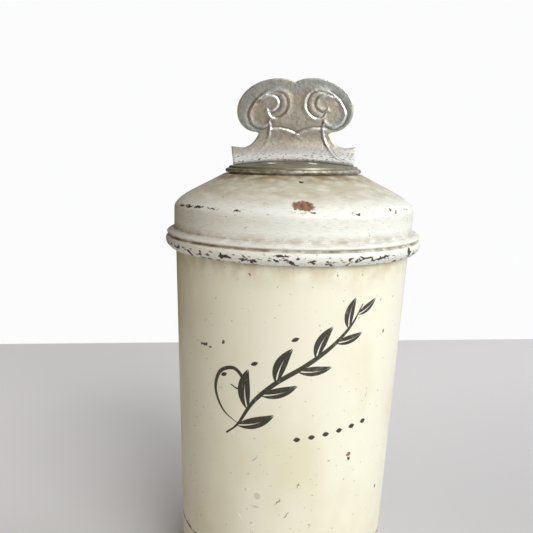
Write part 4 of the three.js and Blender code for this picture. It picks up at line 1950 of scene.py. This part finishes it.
        # Share that grows towards the cove's lower edge; the material paints its glints whiter there.
        foot = np.clip((self.cove_top - 1.7 - flat[:, 1]) / 3.4, 0, 1)
        # Painted highlight along the outline's rounded edge, with rubbing.
        edge_rub_and_highlight = 0.45 * over * (flat[:, 1] > self.cove_top - 3)
        store(piece, "wear", np.maximum(twice[0], np.concatenate([edge_rub_and_highlight, 0 * over])))
        store(piece, "hollow", twice[1])
        store(piece, "rim", np.concatenate([rim, rim]))
        store(piece, "foot", np.concatenate([foot, foot]))
        store(piece, "side", on_inner * 0.9)
        LOG.info("%s: %d border edges", name, len(starts))
        return settle(piece, 50)

    def build(self, metal: Material) -> list[Object]:
        """Make and dress both halves.

        Args:
            metal: Their finish.

        Returns:
            The two pieces.
        """
        return [
            dressed(self.half("thumb_half_front", False), Body.CAP, metal, ["handle_front"], "pewter"),
            dressed(self.half("thumb_half_back", True), Body.CAP, metal, ["handle_back"], "pewter"),
        ]


# ---- Printed ornament ----


@dataclass
class Ornament:
    """A printed sprig and a row of small lozenges, on the tapered wall's front, in millimetres."""

    tin: TinBody
    ink_low: float = 0.006
    ink_high: float = 0.022
    stem: tuple[Point, ...] = (
        (-12.5, 46.5), (-9.6, 49.5), (-6.2, 55.5), (-1.5, 60.5), (4.0, 64.5), (9.5, 69.0),
        (13.5, 73.5), (15.9, 78.0),
    )
    tendril: tuple[Point, ...] = (
        (-9.6, 49.5), (-13.4, 52.0), (-15.4, 56.5), (-14.2, 61.0), (-10.8, 62.6), (-8.6, 60.4),
        (-9.6, 58.0), (-11.4, 58.6),
    )
    row_start: Point = (3.2, 47.3)
    row_pitch: Point = (3.1, 0.56)
    row_count: int = 6

    def ribbon(
        self, centre: Sequence[Point], widest: float, start: float, end: float, across: int
    ) -> tuple[list[tuple[float, float, float]], list[tuple[int, ...]]]:
        """A pen stroke that swells from its start and thins to its end, as a thin closed slab.

        Args:
            centre: The stroke's middle line.
            widest: Its greatest width.
            start: Width at its start, as a share of that.
            end: Width at its end, as a share of that.
            across: Faces across the stroke.

        Returns:
            Its vertices and faces.
        """
        p = np.array(centre)
        run = np.gradient(p, axis=0)
        run /= np.linalg.norm(run, axis=1)[:, None]
        normal = np.stack([-run[:, 1], run[:, 0]], 1)
        t = np.linspace(0, 1, len(p))
        swell = np.sin(np.pi * t) ** 0.8
        half = widest / 2 * np.maximum(swell, start * (1 - t) + end * t)
        points, faces = [], []
        for level in (self.ink_low, self.ink_high):
            for i in range(len(p)):
                for k in np.linspace(-1, 1, across + 1):
                    q = p[i] + normal[i] * half[i] * k
                    points.append((float(q[0]), float(q[1]), level))
        wide = across + 1
        layer = len(p) * wide
        for i in range(len(p) - 1):
            for k in range(across):
                a, b = i * wide + k, (i + 1) * wide + k
                faces.append((a, a + 1, b + 1, b))
                faces.append((layer + a, layer + b, layer + b + 1, layer + a + 1))
            for k, flip in ((0, False), (across, True)):
                a, b = i * wide + k, (i + 1) * wide + k
                quad = (a, b, layer + b, layer + a)
                faces.append(quad[::-1] if flip else quad)
        for i, flip in ((0, True), (len(p) - 1, False)):
            for k in range(across):
                a = i * wide + k
                quad = (a, a + 1, layer + a + 1, layer + a)
                faces.append(quad if flip else quad[::-1])
        return points, faces

    def leaf(self, root: np.ndarray, heading: float, length: float, curl: float) -> list[Any]:
        """Both blades of one leaf, parted by a thin light midrib.

        Args:
            root: Where the leaf leaves the stem.
            heading: Its direction in radians.
            length: Its length.
            curl: How far it bends, in radians.

        Returns:
            Vertices and faces of each blade.
        """
        t = np.linspace(0, 1, 15)
        bend = heading + curl * t
        step = np.stack([np.cos(bend), np.sin(bend)], 1) * length / 14
        spine = root + np.vstack([[0, 0], np.cumsum(step[:-1], axis=0)])
        normal = np.stack([-np.sin(bend), np.cos(bend)], 1)
        blades = []
        for side, fullness in ((1, 0.15), (-1, 0.115)):
            middle = spine + normal * (side * (0.1 + fullness * length / 2 * np.sin(np.pi * t**0.8)))[:, None]
            blades.append(self.ribbon([tuple(q) for q in middle], fullness * length * 1.05, 0.06, 0.03, 3))
        return blades

    def sprig(self) -> tuple[list[Any], list[Any]]:
        """Vertices and faces of the whole flat sprig."""
        stem = np.array(through(self.stem, 12))
        parts = [
            self.ribbon([tuple(p) for p in stem], 1.05, 0.4, 0.25, 3),
            self.ribbon(through(self.tendril, 10), 0.85, 0.2, 0.35, 3),
        ]
        run = np.gradient(stem, axis=0)
        leaves = 9
        for k in range(leaves):
            share = 0.14 + 0.8 * k / (leaves - 1)
            at = int(share * (len(stem) - 1))
            heading = math.atan2(run[at][1], run[at][0])
            length = 9.6 - 4.4 * share + (1.0 if k % 2 else 0.0)
            side = 1 if k % 2 else -1
            parts += self.leaf(stem[at], heading + side * 0.78, length, -side * 0.62)
        for x, y in ((-13.9, 60.2), (-6.9, 64.0), (1.2, 70.2)):
            parts.append(self.ribbon([(x, y), (x + 0.5, y + 0.25), (x + 1.0, y + 0.5), (x + 1.5, y + 0.75)],
                                     0.95, 0.15, 0.15, 3))
        points, faces = [], []
        for vertices, quads in parts:
            offset = len(points)
            points += vertices
            faces += [tuple(offset + i for i in quad) for quad in quads]
        return points, faces

    def lozenge(self) -> tuple[list[Any], list[Any]]:
        """Vertices and faces of one flat lozenge at the row's start."""
        x, y = self.row_start
        line = [(x - 0.75, y - 0.14), (x - 0.375, y - 0.07), (x, y), (x + 0.375, y + 0.07), (x + 0.75, y + 0.14)]
        return self.ribbon(line, 1.15, 0.05, 0.05, 2)

    def build(self, printing: Tree, ink: Material) -> list[Object]:
        """Make, wrap and dress the print.

        Args:
            printing: Tree that repeats a motif and wraps it round the wall.
            ink: Its finish.

        Returns:
            The two printed pieces.
        """
        pieces = []
        wall = {
            "Wall radius": self.tin.foot_radius * MM,
            "Wall level": self.tin.taper_low * MM,
            "Taper": self.tin.taper,
            "Material": ink,
        }
        pitch = (self.row_pitch[0] * MM, self.row_pitch[1] * MM, 0.0)
        for name, motif, count in (
            ("printed_sprig", self.sprig(), 1),
            ("printed_lozenges", self.lozenge(), self.row_count),
        ):
            piece = mesh_piece(name, *motif)
            run_tree(piece, printing, {**wall, "Count": count, "Pitch": pitch})
            pieces.append(dressed(settle(piece, 80), Body.TIN, ink))
        return pieces


# ---- Set ----


@dataclass
class Studio:
    """Pale floor, white surroundings, one large soft light on the right, and the camera."""

    eye: tuple[float, float, float] = (0.0, -0.1573, 0.1095)
    yaw: float = -8.26
    pitch: float = 11.83
    roll: float = 0.6
    lens: float = 42.15
    shift: tuple[float, float] = (0.1266, 0.031)
    floor_far: float = 0.352  # the table's far edge from the camera
    floor_near: float = 1.2
    floor_half_width: float = 1.6
    key_place: tuple[float, float, float] = (0.38, -0.54, 0.5)
    key_size: float = 0.5
    key_power: float = 4.4
    fill_place: tuple[float, float, float] = (0.3, -0.75, 0.32)
    fill_power: float = 0.9
    warm_place: tuple[float, float, float] = (-0.6, -0.4, 0.22)
    warm_power: float = 0.42
    floor_turn: float = 3.8  # degrees between the table's far edge and the camera's frame

    def heading(self) -> Vector:
        """Level direction in which the camera looks."""
        return Vector((math.sin(math.radians(self.yaw)), math.cos(math.radians(self.yaw)), 0))

    def camera(self) -> None:
        """Set up the camera: turned a little to the left, tilted down, its frame shifted across."""
        data = bpy.data.cameras.new("front_view")
        data.sensor_width = 36.0
        data.lens = self.lens
        data.shift_x, data.shift_y = self.shift
        data.clip_start, data.clip_end = 0.01, 20.0
        camera = bpy.data.objects.new("front_view", data)
        bpy.context.scene.collection.objects.link(camera)
        pitch, roll = math.radians(self.pitch), math.radians(self.roll)
        forward = self.heading() * math.cos(pitch) - Vector((0, 0, math.sin(pitch)))
        right = forward.cross(Vector((0, 0, 1))).normalized()
        up = right.cross(forward)
        right_rolled = right * math.cos(roll) + up * math.sin(roll)
        up_rolled = up * math.cos(roll) - right * math.sin(roll)
        axes = Matrix((right_rolled, up_rolled, -forward)).transposed().to_4x4()
        camera.matrix_world = Matrix.Translation(self.eye) @ axes
        bpy.context.scene.camera = camera

    def floor(self) -> None:
        """Lay the table: a matt pale sheet whose far edge is square to the camera, with painted light: lighter
        towards the back, darker towards the front.
        """
        material, tree, place = new_material("laminate_matt_pale_grey")
        cloud = patches(tree, place, 160.0, 0.3, 0.7, (1, 1, 1), 2)
        back = add(
            tree, "ShaderNodeVectorMath", (place, (-0.5, 1.0, 0.0)), operation="DOT_PRODUCT"
        ).outputs["Value"]
        # Painted light: the table turns lighter towards the back and darker towards the front.
        pale = add(
            tree,
            "ShaderNodeMapRange",
            {"Value": back, "From Min": -0.05, "From Max": 0.16},
            interpolation_type="SMOOTHSTEP",
        ).outputs[0]
        colour = layered(tree, linear("#CBCBCD"), [(cloud, linear("#CFCFD1")), (pale, linear("#F3F3F5"))])
        surface(tree, {"Base Color": colour, "Roughness": 0.42})
        eye = Vector(self.eye)
        ahead = Matrix.Rotation(math.radians(self.floor_turn), 3, "Z") @ self.heading()
        side = ahead.cross(Vector((0, 0, 1)))
        corners = []
        for along, across in ((-1, -1), (-1, 1), (1, 1), (1, -1)):
            reach = self.floor_far if along > 0 else -self.floor_near
            corner = eye + ahead * reach + side * across * self.floor_half_width
            corners.append((corner.x / MM, corner.y / MM, 0.0))
        floor = mesh_piece("floor", corners, [(0, 1, 2, 3)])
        floor.data.materials.append(material)

    def light(self, name: str, place: tuple[float, float, float], size: float, power: float,
              colour: str) -> None:
        """Hang one square soft light that points at the tin.

        Args:
            name: The light's name.
            place: Where it hangs, in metres.
            size: Its side.
            power: Its power in watts.
            colour: Its colour.
        """
        data = bpy.data.lights.new(name, "AREA")
        data.size, data.energy = size, power
        data.color = linear(colour)[:3]
        lamp = bpy.data.objects.new(name, data)
        bpy.context.scene.collection.objects.link(lamp)
        aim = Vector((0, 0, 0.07)) - Vector(place)
        lamp.rotation_euler = aim.to_track_quat("-Z", "Y").to_euler()
        lamp.location = place

    def surroundings(self) -> None:
        """White room, dimmer and warmer on the left; the backdrop itself stays white."""
        world = bpy.data.worlds.new("white_room")
        world.use_nodes = True
        tree = world.node_tree
        tree.nodes.clear()
        way = add(tree, "ShaderNodeTexCoord").outputs["Generated"]
        across = add(
            tree, "ShaderNodeVectorMath", (way, (0.8, 0.2, 0.56)), operation="DOT_PRODUCT"
        ).outputs["Value"]
        share = add(
            tree,
            "ShaderNodeMapRange",
            {"Value": across, "From Min": -0.15, "From Max": 0.95},
            interpolation_type="SMOOTHSTEP",
        ).outputs[0]
        glow = layered(tree, linear("#3A2C16"), [(share, linear("#F4F4F6"))])
        seen = add(tree, "ShaderNodeLightPath").outputs["Is Camera Ray"]
        colour = layered(tree, glow, [(seen, linear("#FCFCFD"))])
        back = add(tree, "ShaderNodeBackground", {"Color": colour, "Strength": 1.0}).outputs[0]
        add(tree, "ShaderNodeOutputWorld", (back,))
        bpy.context.scene.world = world

    def build(self) -> None:
        """Set up camera, floor, lights and surroundings."""
        self.camera()
        self.floor()
        self.light("key", self.key_place, self.key_size, self.key_power, "#FFFDF8")
        self.light("fill", self.fill_place, 0.45, self.fill_power, "#FFFFFF")
        self.light("warm", self.warm_place, 0.5, self.warm_power, "#FAC860")
        self.surroundings()
        bpy.context.scene.view_settings.view_transform = "Standard"
        LOG.info("studio: camera at %s", self.eye)


def dress_frame_nodes(steel: Material) -> None:
    """Give the frame's own small steel parts their finish."""
    for name in ("pivot_rivet", "stop_washer"):
        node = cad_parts[name]
        node.data.materials.clear()
        node.data.materials.append(steel)
        LOG.info("%s: kept from the frame", name)


def main() -> None:
    """Build the set and every sub-assembly, in order."""
    logging.basicConfig(level=logging.INFO, format="%(name)s: %(message)s")
    Studio().build()
    turning, drilling = turning_tree(), drilling_tree()
    steel = PlainMetal("steel_sheet_blanked", "#8F8D87", "#5C564C").build()
    tin, sifter = TinBody(), Sifter()
    tinplate = PlainMetal("tinplate_rolled_bare", "#B6B3AA", "#85796A").build()
    tin.build(turning, CreamEnamel().build(), tinplate)
    Lid(sifter).build(turning, drilling, WhiteEnamel().build())
    TurningCap(sifter).build(turning, drilling, caking_tree(), TarnishedTin().build(), steel,
                             Talc().build())
    ThumbPiece(sifter).build(WhiteMetal().build())
    Ornament(tin).build(printing_tree(), PrintInk().build())
    dress_frame_nodes(steel)


if __name__ == "__main__":
    main()
